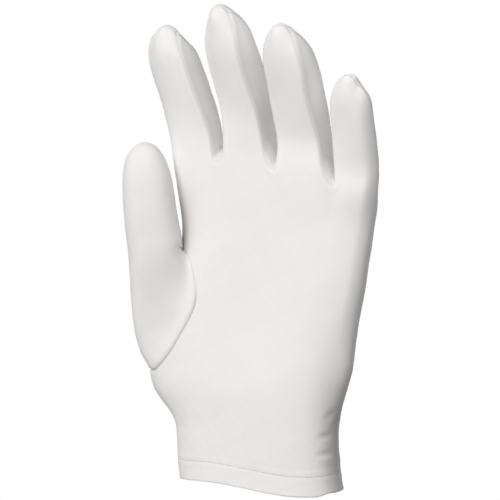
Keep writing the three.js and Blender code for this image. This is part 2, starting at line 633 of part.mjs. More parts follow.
// One piece as a closed solid: its outer surface, the same surface a wall's thickness further in,
// and a rim between them.
function pieceGeometry(piece, wall) {
  const own = faces.filter((face) => face.piece === piece);
  const { rim, steps } = stepsFromEdge(own);
  const corner = (v, depth) => {
    const point = points[v].clone().addScaledVector(normals[v], -depth);
    return steps.has(v) ? point.add(steps.get(v)) : point;
  };
  const triangles = [];
  const addFace = (corners) => {
    if (corners.length === 3) {
      triangles.push(...corners);
      return;
    }
    const [a, b, c, d] = corners;
    if (a.distanceTo(c) < b.distanceTo(d)) triangles.push(a, b, c, a, c, d);
    else triangles.push(a, b, d, b, c, d);
  };
  for (const { loop } of own) {
    addFace(loop.map((v) => corner(v, 0)));
    addFace([...loop].reverse().map((v) => corner(v, wall)));
  }
  for (const [a, b] of rim) addFace([corner(b, 0), corner(a, 0), corner(a, wall), corner(b, wall)]);
  return new THREE.BufferGeometry().setFromPoints(triangles);
}

const cloth = (name) =>
  new THREE.MeshStandardMaterial({
    name,
    color: CLOTH_COLOUR,
    roughness: CLOTH_ROUGHNESS,
    metalness: 0,
  });

const PIECES = [
  { name: "palm_panel", wall: WALL },
  { name: "back_panel", wall: WALL },
  ...FINGERS.slice(1).map((finger, k) => ({ name: forkName(k), wall: WALL })),
  { name: "thumb", wall: WALL },
  { name: "cuff_hem", wall: HEM_WALL },
];

const glove = new THREE.Group();
for (const { name, wall } of PIECES) {
  const geometry = pieceGeometry(name, wall);
  geometry.computeVertexNormals();
  const mesh = new THREE.Mesh(geometry, cloth(name));
  mesh.name = name;
  glove.add(mesh);
}

export default glove;
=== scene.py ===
"""A thin knitted nylon inspection glove, the left of its pair, filled out as it is in use.

It is cut and sewn from a palm panel, a back panel, three forks (the side walls between the fingers),
a thumb and a hem round the mouth. +Z runs up to the fingertips, the palm faces -Y and the thumb is
on the -X side. The tables work in millimetres, and the finished meshes are in metres.
"""

import math

import bmesh
import bpy
import numpy as np
from mathutils import Matrix, Vector
from mathutils.kdtree import KDTree


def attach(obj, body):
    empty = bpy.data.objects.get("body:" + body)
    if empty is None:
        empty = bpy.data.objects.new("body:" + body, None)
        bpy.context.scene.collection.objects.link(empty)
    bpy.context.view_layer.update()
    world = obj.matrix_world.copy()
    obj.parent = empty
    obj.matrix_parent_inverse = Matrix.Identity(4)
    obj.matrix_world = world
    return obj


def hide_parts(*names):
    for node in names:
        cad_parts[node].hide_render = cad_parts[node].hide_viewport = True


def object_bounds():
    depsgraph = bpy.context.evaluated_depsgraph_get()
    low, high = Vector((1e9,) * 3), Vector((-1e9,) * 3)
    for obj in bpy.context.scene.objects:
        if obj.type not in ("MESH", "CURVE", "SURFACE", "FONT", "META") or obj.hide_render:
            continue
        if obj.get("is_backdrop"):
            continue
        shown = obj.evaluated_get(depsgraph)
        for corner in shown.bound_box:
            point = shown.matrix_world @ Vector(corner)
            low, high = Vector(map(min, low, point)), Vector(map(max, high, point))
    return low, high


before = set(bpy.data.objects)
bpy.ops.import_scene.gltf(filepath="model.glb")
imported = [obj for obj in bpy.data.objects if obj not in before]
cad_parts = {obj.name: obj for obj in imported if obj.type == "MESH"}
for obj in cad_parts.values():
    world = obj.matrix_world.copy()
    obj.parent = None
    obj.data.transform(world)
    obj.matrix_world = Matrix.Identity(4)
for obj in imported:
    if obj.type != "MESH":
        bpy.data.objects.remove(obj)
solids_low, solids_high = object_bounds()

MM = 0.001

# Cloth
WALL = 1.0
HEM_WALL = 1.7

# Body of the glove. The mouth slants and sags, and its corner rises on the little finger's side
# between two shares of the palm's breadth.
PALM_HEIGHT = 147.0
PALM_BREADTH = 97.0
PALM_DEPTH = 27.0
HEM_HEIGHT = 9.5
MOUTH_SLANT = 7.0
MOUTH_SAG = 3.6
MOUTH_CORNER = 4.4
MOUTH_CORNER_FROM = 0.35
MOUTH_CORNER_TO = 0.42
CROTCH_DIP = 1.6

THUMB_REACH = 47.0
THUMB_WIDTH = 25.5
THUMB_DEPTH = 23.0

# Cage of the cloth: columns across a finger's face, a fork, a crotch and an edge of the palm
FACE_COLUMNS = 4
FORK_COLUMNS = 3
CROTCH_COLUMNS = 2
EDGE_COLUMNS = 4
EDGE_COLUMNS_IN_PALM = 3
THUMB_BASE_ROWS = 6
JOIN_WITHIN = 0.002  # patches meet where their points lie this near
FINENESS = 3  # times that the cage is divided
FIT_ROUNDS = 4

# Outline of the body. up: share of the palm's height. left, right: of its breadth. front, back: of
# its depth. squareness: exponent of the section's curve, where 2 is an ellipse.
BODY_SECTIONS = [
    dict(up=0.0, left=-0.41, right=0.412, front=0.7, back=0.66, squareness=2.6),
    dict(up=0.065, left=-0.422, right=0.395, front=0.66, back=0.64, squareness=2.7),
    dict(up=0.18, left=-0.432, right=0.385, front=0.65, back=0.61, squareness=2.7),
    dict(up=0.26, left=-0.498, right=0.412, front=0.66, back=0.57, squareness=2.5),
    dict(up=0.33, left=-0.566, right=0.445, front=0.66, back=0.54, squareness=2.5),
    dict(up=0.38, left=-0.575, right=0.464, front=0.63, back=0.53, squareness=2.5),
    dict(up=0.52, left=-0.5, right=0.494, front=0.57, back=0.53, squareness=2.7),
    dict(up=0.64, left=-0.42, right=0.53, front=0.535, back=0.52, squareness=2.9),
    dict(up=0.77, left=-0.402, right=0.56, front=0.5, back=0.5, squareness=3.0),
    dict(up=0.9, left=-0.403, right=0.59, front=0.48, back=0.5, squareness=3.0),
    dict(up=1.0, left=-0.408, right=0.6, front=0.46, back=0.48, squareness=3.1),
]
SAG_CENTRE = 0.28
MOUTH_FADE_FROM = 0.07
MOUTH_FADE_TO = 0.3
EDGE_START = 0.93
BACK_SQUARENESS = 3.4

# Rows of the cage, as shares of the palm's height
ROWS_BELOW_THUMB = [0.092, 0.12, 0.148, 0.178, 0.212, 0.256, 0.31]
ROWS_BESIDE_THUMB = [0.37, 0.425, 0.48, 0.535, 0.59, 0.645, 0.7, 0.755]
ROWS_ABOVE_THUMB = [0.815, 0.875, 0.94, 1.0]
FINGERS_FADE_FROM = 0.83
FADE_SOFTNESS = 0.6
COLUMNS_FAN_TO = 0.9

# Broad dents in the palm's face: the hollow of the palm, and the slope from the heel of the palm
# down to the wrist on the little finger's side. across, wide: shares of the palm's breadth. up,
# tall: of its height. lean: degrees that the top leans right. deep: share of the palm's depth.
DENTS = [
    dict(across=0.03, up=0.58, wide=0.3, tall=0.34, lean=8, deep=0.06),
    dict(across=0.64, up=0.34, wide=0.36, tall=0.26, lean=10, deep=0.12),
]

# Seam of the thumb on the palm and on the back, in shares of the palm's height and breadth
THUMB_SEAM = [
    dict(up=0.37, front=-0.51, back=-0.5),
    dict(up=0.42, front=-0.438, back=-0.47),
    dict(up=0.48, front=-0.378, back=-0.44),
    dict(up=0.535, front=-0.328, back=-0.415),
    dict(up=0.585, front=-0.296, back=-0.4),
    dict(up=0.64, front=-0.3, back=-0.395),
    dict(up=0.7, front=-0.322, back=-0.39),
    dict(up=0.755, front=-0.368, back=-0.39),
]

# Fingers. Each path runs from the root, in shares of the finger's reach: up, across, forward.
FINGERS = [
    dict(
        name="index", reach=63.2, width=20.4, depth=19.0,
        left=-0.411, right=-0.202, up=1.05, forward=0.134, twist_root=-1, twist_tip=14,
        path=[
            dict(up=0.0, across=0.0, forward=0.0),
            dict(up=0.21, across=-0.025, forward=0.035),
            dict(up=0.45, across=-0.07, forward=0.104),
            dict(up=0.68, across=-0.124, forward=0.187),
            dict(up=0.86, across=-0.158, forward=0.252),
            dict(up=1.0, across=-0.152, forward=0.3),
        ],
    ),
    dict(
        name="middle", reach=67.8, width=18.6, depth=20.5,
        left=-0.147, right=0.07, up=1.075, forward=0.138, twist_root=0, twist_tip=18,
        path=[
            dict(up=0.0, across=0.0, forward=0.0),
            dict(up=0.28, across=0.0, forward=0.071),
            dict(up=0.49, across=-0.021, forward=0.162),
            dict(up=0.69, across=-0.048, forward=0.263),
            dict(up=0.85, across=-0.068, forward=0.335),
            dict(up=1.0, across=-0.1, forward=0.426),
        ],
    ),
    dict(
        name="ring", reach=66.4, width=20.4, depth=20.0,
        left=0.125, right=0.366, up=1.02, forward=0.149, twist_root=0, twist_tip=13,
        path=[
            dict(up=0.0, across=0.0, forward=0.0),
            dict(up=0.2, across=0.003, forward=0.024),
            dict(up=0.47, across=-0.007, forward=0.138),
            dict(up=0.65, across=-0.011, forward=0.236),
            dict(up=0.82, across=-0.031, forward=0.332),
            dict(up=1.0, across=-0.056, forward=0.439),
        ],
    ),
    dict(
        name="little", reach=51.0, width=17.2, depth=16.0,
        left=0.423, right=0.593, up=0.963, forward=0.16, twist_root=0, twist_tip=14,
        path=[
            dict(up=0.0, across=0.0, forward=0.0),
            dict(up=0.15, across=0.014, forward=0.02),
            dict(up=0.45, across=0.028, forward=0.125),
            dict(up=0.76, across=0.044, forward=0.27),
            dict(up=0.915, across=0.054, forward=0.354),
            dict(up=1.0, across=0.071, forward=0.41),
        ],
    ),
]

# Tube of every finger. up: share of its reach. width, thick: of its width and depth. edge: how high
# the seams stand, as a share of that thickness. dome: how far a row's ends drop below its middle, as
# a share of the width.
FINGER_SECTIONS = [
    dict(up=0.0, width=1.0, thick=1.12, edge=0.985, dome=0.0),
    dict(up=0.1, width=1.0, thick=1.06, edge=0.93, dome=0.0),
    dict(up=0.22, width=1.0, thick=1.02, edge=0.89, dome=0.0),
    dict(up=0.34, width=1.0, thick=1.0, edge=0.88, dome=0.0),
    dict(up=0.46, width=1.0, thick=0.98, edge=0.86, dome=0.0),
    dict(up=0.58, width=1.0, thick=0.96, edge=0.85, dome=0.0),
    dict(up=0.69, width=1.0, thick=0.93, edge=0.82, dome=0.0),
    dict(up=0.78, width=0.98, thick=0.89, edge=0.76, dome=0.01),
    dict(up=0.855, width=0.9, thick=0.81, edge=0.64, dome=0.03),
    dict(up=0.92, width=0.77, thick=0.67, edge=0.42, dome=0.06),
    dict(up=0.97, width=0.59, thick=0.46, edge=0.0, dome=0.09),
    dict(up=1.0, width=0.42, thick=0.0, edge=0.0, dome=0.08),
]
FORK_TOP_ROW = next(k for k, row in enumerate(FINGER_SECTIONS) if row["edge"] == 0)
TWIST_DONE_BY = 0.6
ROOT_FLARE_TO = 0.16
PATH_STEP = 0.02
FORK_BULGE = 0.08
ROOT_FORK_BULGE = 0.04
FORK_BULGE_FROM = 0.05
FORK_BULGE_TO = 0.35
EDGE_BULGE = 0.19
EDGE_TUCK = 0.07
WEB_ARCH = 0.2
OPEN_EDGE_DROP = 0.12

# Thumb. Its root is in shares of the palm's sizes, its sections in shares of its reach, width and
# depth.
THUMB_ROOT = dict(across=-0.505, up=0.785, forward=0.5)
THUMB_TWIST = -12
THUMB_SQUARENESS = 2.5
THUMB_SECTIONS = [
    dict(up=0.0, across=0.0, forward=0.0, width=1.02, thick=1.02, dome=0.0),
    dict(up=0.14, across=-0.012, forward=0.03, width=1.0, thick=1.01, dome=0.0),
    dict(up=0.29, across=-0.022, forward=0.062, width=0.98, thick=1.0, dome=0.0),
    dict(up=0.44, across=-0.028, forward=0.09, width=0.96, thick=0.98, dome=0.0),
    dict(up=0.58, across=-0.032, forward=0.115, width=0.93, thick=0.94, dome=0.0),
    dict(up=0.7, across=-0.04, forward=0.135, width=0.87, thick=0.88, dome=0.0),
    dict(up=0.81, across=-0.05, forward=0.15, width=0.77, thick=0.79, dome=0.02),
    dict(up=0.9, across=-0.058, forward=0.163, width=0.64, thick=0.65, dome=0.04),
    dict(up=0.965, across=-0.066, forward=0.172, width=0.48, thick=0.44, dome=0.06),
    dict(up=1.0, across=-0.072, forward=0.177, width=0.34, thick=0.0, dome=0.06),
]
THUMB_BASE_START = 1.2
THUMB_BASE_END = 0.95
CROTCH_PULL = 0.5
THUMB_BASE_BLEND = 2
THUMB_BASE_SWELL = 0.01

PIECES = [
    "palm_panel",
    "back_panel",
    "fork_index_middle",
    "fork_middle_ring",
    "fork_ring_little",
    "thumb",
    "cuff_hem",
]
PALM, BACK, FORK, THUMB, HEM = 0, 1, 2, 5, 6


def add_object(name, data):
    made = bpy.data.objects.new(name, data)
    bpy.context.scene.collection.objects.link(made)
    return made


def mix(a, b, share):
    return a + (b - a) * share


def clamp(value, low, high):
    return max(low, min(high, value))


def smooth(value, low, high):
    t = clamp((value - low) / (high - low), 0.0, 1.0)
    return t * t * (3 - 2 * t)


def read(table, column, up):
    """One column of a table at a share between its rows, by a cubic that doesn't overshoot."""
    last = len(table) - 1
    at = clamp(up, table[0]["up"], table[last]["up"])
    i = next((k for k in range(1, last + 1) if table[k]["up"] > at), last) - 1

    def step(k):
        return table[k + 1]["up"] - table[k]["up"]

    def rise(k):
        return (table[k + 1][column] - table[k][column]) / step(k)

    def slope(k):
        if k == 0:
            return rise(0)
        if k == last:
            return rise(last - 1)
        before, after = rise(k - 1), rise(k)
        if before * after <= 0:
            return 0.0
        return before * after * (step(k - 1) + step(k)) / (step(k) * before + step(k - 1) * after)

    run = step(i)
    t = (at - table[i]["up"]) / run
    return (
        table[i][column] * (1 + 2 * t) * (1 - t) ** 2
        + slope(i) * run * t * (1 - t) ** 2
        + table[i + 1][column] * t * t * (3 - 2 * t)
        + slope(i + 1) * run * t * t * (t - 1)
    )


# Form of the fingers


def tube_frame(centre, up, twist):
    """Directions along a bent tube, across its face and out of its face."""
    along = (centre(min(1.0, up + PATH_STEP)) - centre(max(0.0, up - PATH_STEP))).normalized()
    turn = math.radians(twist)
    out = Vector((-math.sin(turn), -math.cos(turn), 0))
    out = (out - along * out.dot(along)).normalized()
    across = -out.cross(along).normalized()
    return along, across, out


def finger_centre(finger, up):
    middle = (finger["left"] + finger["right"]) / 2
    return Vector((
        middle * PALM_BREADTH + read(finger["path"], "across", up) * finger["reach"],
        -(finger["forward"] * PALM_DEPTH + read(finger["path"], "forward", up) * finger["reach"]),
        finger["up"] * PALM_HEIGHT + up * finger["reach"],
    ))


def finger_point(finger, row, side, depth, face):
    """side runs from -1 to 1 across the face, depth from -1 at the back seam to 1 at the palm seam,
    and face is 1 on the palm, -1 on the back and 0 on a side wall."""
    section = FINGER_SECTIONS[row]
    up = section["up"]
    twist = mix(finger["twist_root"], finger["twist_tip"], smooth(up, 0, TWIST_DONE_BY))
    along, across, out = tube_frame(lambda at: finger_centre(finger, at), up, twist)
    root_half = (finger["right"] - finger["left"]) / 2 * PALM_BREADTH
    own_half = section["width"] * finger["width"] / 2
    half = mix(root_half, own_half, smooth(up, 0, ROOT_FLARE_TO))
    thick = section["thick"] * finger["depth"] / 2
    outer = (finger is FINGERS[0] and side < 0) or (finger is FINGERS[-1] and side > 0)
    seam = thick * max(0.0, section["edge"] - (OPEN_EDGE_DROP if outer else 0.0))
    fork_bulge = mix(ROOT_FORK_BULGE, FORK_BULGE, smooth(up, FORK_BULGE_FROM, FORK_BULGE_TO))
    swell = (EDGE_BULGE if outer else fork_bulge) * finger["width"] * section["edge"]
    tuck = EDGE_TUCK * finger["width"] * section["edge"] if outer else 0.0
    arch = WEB_ARCH * (1 - depth * depth) if row == 0 and not face and not outer else 0.0
    lift = face * (seam + (thick - seam) * (1 - side * side)) if face else depth * seam
    reach = side * (half - tuck)
    if not face:
        reach += math.copysign(swell * (1 - depth * depth), side)
    return (
        finger_centre(finger, up)
        + across * reach
        + out * lift
        + along * ((arch - section["dome"] * side * side) * finger["width"])
    )


# Form of the body

BODY_COLUMNS = len(FINGERS) * FACE_COLUMNS + (len(FINGERS) - 1) * CROTCH_COLUMNS
FINGER_STRIDE = FACE_COLUMNS + CROTCH_COLUMNS
ROWS = [0, HEM_HEIGHT / PALM_HEIGHT, *ROWS_BELOW_THUMB, *ROWS_BESIDE_THUMB, *ROWS_ABOVE_THUMB]
HEM_ROWS = 1
THUMB_FIRST_ROW = HEM_ROWS + 1 + len(ROWS_BELOW_THUMB)
THUMB_LAST_ROW = THUMB_FIRST_ROW + len(ROWS_BESIDE_THUMB) - 1
LAST_ROW = len(ROWS) - 1


def crotch_point(k, share, depth):
    start = finger_point(FINGERS[k], 0, 1, depth, 0)
    end = finger_point(FINGERS[k + 1], 0, -1, depth, 0)
    point = start.lerp(end, share)
    point.z -= CROTCH_DIP * 4 * share * (1 - share)
    return point


def root_point(column, face):
    k = min(len(FINGERS) - 1, column // FINGER_STRIDE)
    within = column - k * FINGER_STRIDE
    if within <= FACE_COLUMNS:
        return finger_point(FINGERS[k], 0, 2 * within / FACE_COLUMNS - 1, face, face)
    return crotch_point(k, (within - FACE_COLUMNS) / CROTCH_COLUMNS, face)


ROOTS = {face: [root_point(c, face) for c in range(BODY_COLUMNS + 1)] for face in (1, -1)}


def round_off(share, squareness):
    return max(0.0, 1 - abs(share) ** squareness) ** (1 / squareness)


def body_section(up):
    """Middle, half breadth, depth to the front and to the back, and squareness at a height."""
    left = read(BODY_SECTIONS, "left", up) * PALM_BREADTH
    right = read(BODY_SECTIONS, "right", up) * PALM_BREADTH
    front = read(BODY_SECTIONS, "front", up) * PALM_DEPTH
    back = read(BODY_SECTIONS, "back", up) * PALM_DEPTH
    return (left + right) / 2, (right - left) / 2, front, back, read(BODY_SECTIONS, "squareness", up)


def body_height(up, x, front):
    slant = -x / PALM_BREADTH * MOUTH_SLANT
    sag = -MOUTH_SAG * max(0.0, front) * math.cos(math.pi * (x / PALM_BREADTH - SAG_CENTRE)) ** 2
    corner_share = (x / PALM_BREADTH - MOUTH_CORNER_FROM) / (MOUTH_CORNER_TO - MOUTH_CORNER_FROM)
    corner = MOUTH_CORNER * max(0.0, corner_share) ** 2
    return (
        up * PALM_HEIGHT
        + (slant + sag) * (1 - smooth(up, MOUTH_FADE_FROM, MOUTH_FADE_TO))
        + corner * (1 - smooth(up, 0, HEM_HEIGHT / PALM_HEIGHT))
    )


def dent_depth(x, up):
    total = 0.0
    for dent in DENTS:
        lean = math.radians(dent["lean"])
        right = x - dent["across"] * PALM_BREADTH
        above = (up - dent["up"]) * PALM_HEIGHT
        sideways = right * math.cos(lean) - above * math.sin(lean)
        lengthways = right * math.sin(lean) + above * math.cos(lean)
        reach = math.hypot(
            sideways / (dent["wide"] * PALM_BREADTH), lengthways / (dent["tall"] * PALM_HEIGHT)
        )
        total += dent["deep"] * PALM_DEPTH * max(0.0, 1 - reach**2) ** 2
    return total


def is_beside_thumb(row):
    return THUMB_FIRST_ROW <= row <= THUMB_LAST_ROW


def plain_face_point(row, column, face):
    up = ROWS[row]
    middle, half, front, back, squareness = body_section(up)
    left = middle - half * EDGE_START
    if is_beside_thumb(row):
        left = read(THUMB_SEAM, "front" if face > 0 else "back", up) * PALM_BREADTH
    right = middle + half * EDGE_START
    roots = ROOTS[face]
    at_root = (roots[column].x - roots[0].x) / (roots[-1].x - roots[0].x)
    share = mix(column / BODY_COLUMNS, at_root, smooth(up, 0, COLUMNS_FAN_TO))
    x = mix(left, right, share)
    depth = round_off((x - middle) / half, squareness if face > 0 else BACK_SQUARENESS)
    y = dent_depth(x, up) - depth * front if face > 0 else depth * back
    return Vector((x, y, body_height(up, x, depth if face > 0 else 0)))


def ramp(up):
    return clamp((up - FINGERS_FADE_FROM) / (1 - FINGERS_FADE_FROM), 0.0, 1.0)


def face_point(row, column, face):
    if row == LAST_ROW:
        return ROOTS[face][column].copy()
    pull = ROOTS[face][column] - plain_face_point(LAST_ROW, column, face)
    share = mix(ramp(ROWS[row]), smooth(ROWS[row], FINGERS_FADE_FROM, 1), FADE_SOFTNESS)
    return plain_face_point(row, column, face) + pull * share


def edge_point(row, side, depth):
    """side is -1 on the thumb's side and 1 on the little finger's, depth from 1 at the palm to -1."""
    column = 0 if side < 0 else BODY_COLUMNS
    if abs(depth) == 1:
        return face_point(row, column, int(depth))
    finger = FINGERS[0] if side < 0 else FINGERS[-1]
    if row == LAST_ROW:
        return finger_point(finger, 0, side, depth, 0)
    chord = face_point(row, column, 1).lerp(face_point(row, column, -1), (1 - depth) / 2)
    middle, half, _, _, squareness = body_section(ROWS[row])
    to_outline = half * (1 - EDGE_START)
    if side < 0 and is_beside_thumb(row):
        to_outline = abs(middle - half - chord.x)
    curve = round_off(depth * round_off(EDGE_START, squareness), squareness)
    plain_swell = (curve - EDGE_START) / (1 - EDGE_START) * to_outline
    root_swell = EDGE_BULGE * finger["width"] * FINGER_SECTIONS[0]["edge"] * (1 - depth * depth)
    chord.x += side * mix(plain_swell, root_swell, ramp(ROWS[row]))
    return chord


def edge_depth(column):
    return 1 - 2 * column / EDGE_COLUMNS


# Cage of the whole glove, one bmesh of patches whose faces know their piece

cage = bmesh.new()
knit_map = cage.loops.layers.uv.new("knit")


def add_patch(piece_of, columns, rows, place, start=(0.0, 0.0), middle=None):
    """A grid laid on the form, seen from outside with columns to the right and rows up. Its knit
    map measures the cloth from start at the middle column of its first row."""
    grid = bmesh.ops.create_grid(cage, x_segments=columns, y_segments=rows, size=1.0)
    spot = {}
    for vert in grid["verts"]:
        spot[vert] = (round((vert.co.x + 1) / 2 * columns), round((vert.co.y + 1) / 2 * rows))
    points = {at: place(*at) for at in spot.values()}
    middle = columns // 2 if middle is None else middle
    knit = {}
    height = start[1]
    for r in range(rows + 1):
        if r:
            height += (points[middle, r] - points[middle, r - 1]).length
        knit[middle, r] = (start[0], height)
        for c in range(middle + 1, columns + 1):
            knit[c, r] = (knit[c - 1, r][0] + (points[c, r] - points[c - 1, r]).length, height)
        for c in range(middle - 1, -1, -1):
            knit[c, r] = (knit[c + 1, r][0] - (points[c, r] - points[c + 1, r]).length, height)
    for vert, at in spot.items():
        vert.co = points[at]
    for face in {f for v in grid["verts"] for f in v.link_faces}:
        corners = [spot[v] for v in face.verts]
        face.material_index = piece_of(min(c for c, _ in corners), min(r for _, r in corners))
        for loop in face.loops:
            loop[knit_map].uv = knit[spot[loop.vert]]
    return knit


def add_body():
    rows = LAST_ROW
    palm_at = add_patch(
        lambda c, r: HEM if r < HEM_ROWS else PALM, BODY_COLUMNS, rows,
        lambda c, r: face_point(r, c, 1),
    )
    back_at = add_patch(
        lambda c, r: HEM if r < HEM_ROWS else BACK, BODY_COLUMNS, rows,
        lambda c, r: face_point(r, BODY_COLUMNS - c, -1),
    )

    def on_edge(column, row):
        if row < HEM_ROWS:
            return HEM
        return PALM if column < EDGE_COLUMNS_IN_PALM else BACK

    add_patch(
        on_edge, EDGE_COLUMNS, rows, lambda c, r: edge_point(r, 1, edge_depth(c)),
        start=palm_at[BODY_COLUMNS, 0], middle=0,
    )
    for first, last in ((0, THUMB_FIRST_ROW), (THUMB_LAST_ROW, rows)):
        add_patch(
            lambda c, r, first=first: on_edge(EDGE_COLUMNS - 1 - c, r + first),
            EDGE_COLUMNS, last - first,
            lambda c, r, first=first: edge_point(r + first, -1, edge_depth(EDGE_COLUMNS - c)),
            start=palm_at[0, first], middle=EDGE_COLUMNS,
        )
    return palm_at, back_at


def add_finger(k, palm_at, back_at):
    finger = FINGERS[k]
    rows = len(FINGER_SECTIONS) - 1
    centre = k * FINGER_STRIDE + FACE_COLUMNS // 2

    def side_at(column):
        return 2 * column / FACE_COLUMNS - 1

    face_at = add_patch(
        lambda c, r: PALM, FACE_COLUMNS, rows,
        lambda c, r: finger_point(finger, r, side_at(c), 1, 1),
        start=palm_at[centre, LAST_ROW],
    )
    add_patch(
        lambda c, r: BACK, FACE_COLUMNS, rows,
        lambda c, r: finger_point(finger, r, -side_at(c), -1, -1),
        start=back_at[BODY_COLUMNS - centre, LAST_ROW],
    )
    for side in (-1, 1):
        fork = k if side > 0 else k - 1
        is_open = fork < 0 or fork == len(FINGERS) - 1
        columns = EDGE_COLUMNS if is_open else FORK_COLUMNS

        def piece(c, r, side=side, fork=fork, is_open=is_open, columns=columns):
            if not is_open:
                return FORK + fork
            near_palm = c if side > 0 else columns - 1 - c
            return PALM if near_palm < EDGE_COLUMNS_IN_PALM else BACK

        def place(c, r, side=side, columns=columns):
            from_front = c if side > 0 else columns - c
            return finger_point(finger, r, side, 1 - 2 * from_front / columns, 0)

        edge = FACE_COLUMNS if side > 0 else 0
        add_patch(
            piece, columns, FORK_TOP_ROW, place,
            start=face_at[edge, 0], middle=0 if side > 0 else columns,
        )


def add_crotch(k):
    add_patch(
        lambda c, r: FORK + k, CROTCH_COLUMNS, FORK_COLUMNS,
        lambda c, r: crotch_point(k, c / CROTCH_COLUMNS, 1 - 2 * r / FORK_COLUMNS),
    )


def thumb_opening():
    """The seam ring of the thumb: up the palm, over the top, down the back and round below."""
    ring = []
    for r in range(THUMB_FIRST_ROW, THUMB_LAST_ROW):
        ring.append((face_point(r, 0, 1), face_point(r, 1, 1), 1.0))
    for c in range(EDGE_COLUMNS + 1):
        rim = edge_point(THUMB_LAST_ROW, -1, edge_depth(c))
        ring.append((rim, edge_point(THUMB_LAST_ROW + 1, -1, edge_depth(c)), CROTCH_PULL))
    for r in range(THUMB_LAST_ROW - 1, THUMB_FIRST_ROW - 1, -1):
        ring.append((face_point(r, 0, -1), face_point(r, 1, -1), 1.0))
    for c in range(EDGE_COLUMNS - 1, 0, -1):
        rim = edge_point(THUMB_FIRST_ROW, -1, edge_depth(c))
        ring.append((rim, edge_point(THUMB_FIRST_ROW - 1, -1, edge_depth(c)), 1.0))
    return ring


def thumb_centre(up):
    return Vector((
        THUMB_ROOT["across"] * PALM_BREADTH + read(THUMB_SECTIONS, "across", up) * THUMB_REACH,
        -(THUMB_ROOT["forward"] * PALM_DEPTH + read(THUMB_SECTIONS, "forward", up) * THUMB_REACH),
        THUMB_ROOT["up"] * PALM_HEIGHT + up * THUMB_REACH,
    ))


def squared(share):
    return math.copysign(abs(share) ** (2 / THUMB_SQUARENESS), share)


def thumb_point(section, turn):
    along, across, out = tube_frame(thumb_centre, section["up"], THUMB_TWIST)
    side = -squared(math.cos(turn))
    return (
        thumb_centre(section["up"])
        + across * (side * section["width"] * THUMB_WIDTH / 2)
        + out * (squared(math.sin(turn)) * section["thick"] * THUMB_DEPTH / 2)
        - along * (section["dome"] * THUMB_WIDTH * side * side)
    )


def add_thumb():
    opening = thumb_opening()
    columns = len(opening)
    last = len(THUMB_SECTIONS) - 1

    def turn_at(c):
        return 2 * math.pi * (c + EDGE_COLUMNS / 2) / columns

    def tube(c, r):
        # The last row folds flat, so its two halves have to be the same points.
        turn = turn_at(c)
        if r == last:
            turn = math.acos(clamp(math.cos(turn), -1.0, 1.0))
        return thumb_point(THUMB_SECTIONS[r], turn)

    def pull_at(c):
        total = Vector()
        for k in range(c - THUMB_BASE_BLEND, c + THUMB_BASE_BLEND + 1):
            rim, behind, pull = opening[k % columns]
            total += (rim - behind).normalized() * pull
        return total / (2 * THUMB_BASE_BLEND + 1)

    def base(c, r):
        rim = opening[c][0]
        end = tube(c, 0)
        if r == 0:
            return rim.copy()
        if r == THUMB_BASE_ROWS:
            return end
        t = r / THUMB_BASE_ROWS
        run = (end - rim).length
        leave = pull_at(c) * run * THUMB_BASE_START
        arrive = (tube(c, 1) - end).normalized() * run * THUMB_BASE_END
        outwards = (end - thumb_centre(0)).normalized()
        towards_outside = (1 + math.cos(turn_at(c))) / 2
        swell = THUMB_BASE_SWELL * THUMB_WIDTH * math.sin(math.pi * t) * towards_outside
        return (
            rim * ((1 + 2 * t) * (1 - t) ** 2)
            + leave * (t * (1 - t) ** 2)
            + end * (t * t * (3 - 2 * t))
            + arrive * (t * t * (t - 1))
            + outwards * swell
        )

    front = THUMB_LAST_ROW - THUMB_FIRST_ROW
    base_at = add_patch(
        lambda c, r: THUMB, columns, THUMB_BASE_ROWS, lambda c, r: base(c % columns, r),
        middle=front,
    )
    add_patch(
        lambda c, r: THUMB, columns, last, lambda c, r: tube(c % columns, r),
        start=base_at[front, THUMB_BASE_ROWS], middle=front,
    )


palm_knit, back_knit = add_body()
for number in range(len(FINGERS)):
    add_finger(number, palm_knit, back_knit)
for number in range(len(FINGERS) - 1):
    add_crotch(number)
add_thumb()
bmesh.ops.remove_doubles(cage, verts=cage.verts, dist=JOIN_WITHIN)

# How sharply the cloth turns at each kind of seam, from 0 to 1
FORK_CREASE = 0.9
THUMB_CREASE = 0.4


def seam_kind(edge):
    """The kind of seam that an edge lies on, or None."""
    if len(edge.link_faces) != 2:
        return None
    a, b = sorted(f.material_index for f in edge.link_faces)
    if a == b:
        return None
    if b == HEM:
        return "hem"
    if b == THUMB:
        return "thumb"
    return "side" if b == BACK else "fork"


crease = cage.edges.layers.float.new("crease_edge")
for edge in cage.edges:
    edge[crease] = {"fork": FORK_CREASE, "thumb": THUMB_CREASE}.get(seam_kind(edge), 0.0)

cage_mesh = bpy.data.meshes.new("cage")
cage.to_mesh(cage_mesh)
cage.free()
cage_piece = add_object("cage", cage_mesh)
for name in PIECES:
    cage_mesh.materials.append(bpy.data.materials.new(name))


def coordinates(mesh, what="vertices"):
    flat = np.zeros(len(mesh.vertices) * 3)
    if what == "normals":
        mesh.vertex_normals.foreach_get("vector", flat)
    else:
        mesh.vertices.foreach_get("co", flat)
    return flat.reshape(-1, 3)


def evaluated(piece):
    graph = bpy.context.evaluated_depsgraph_get()
    return bpy.data.meshes.new_from_object(piece.evaluated_get(graph), depsgraph=graph)


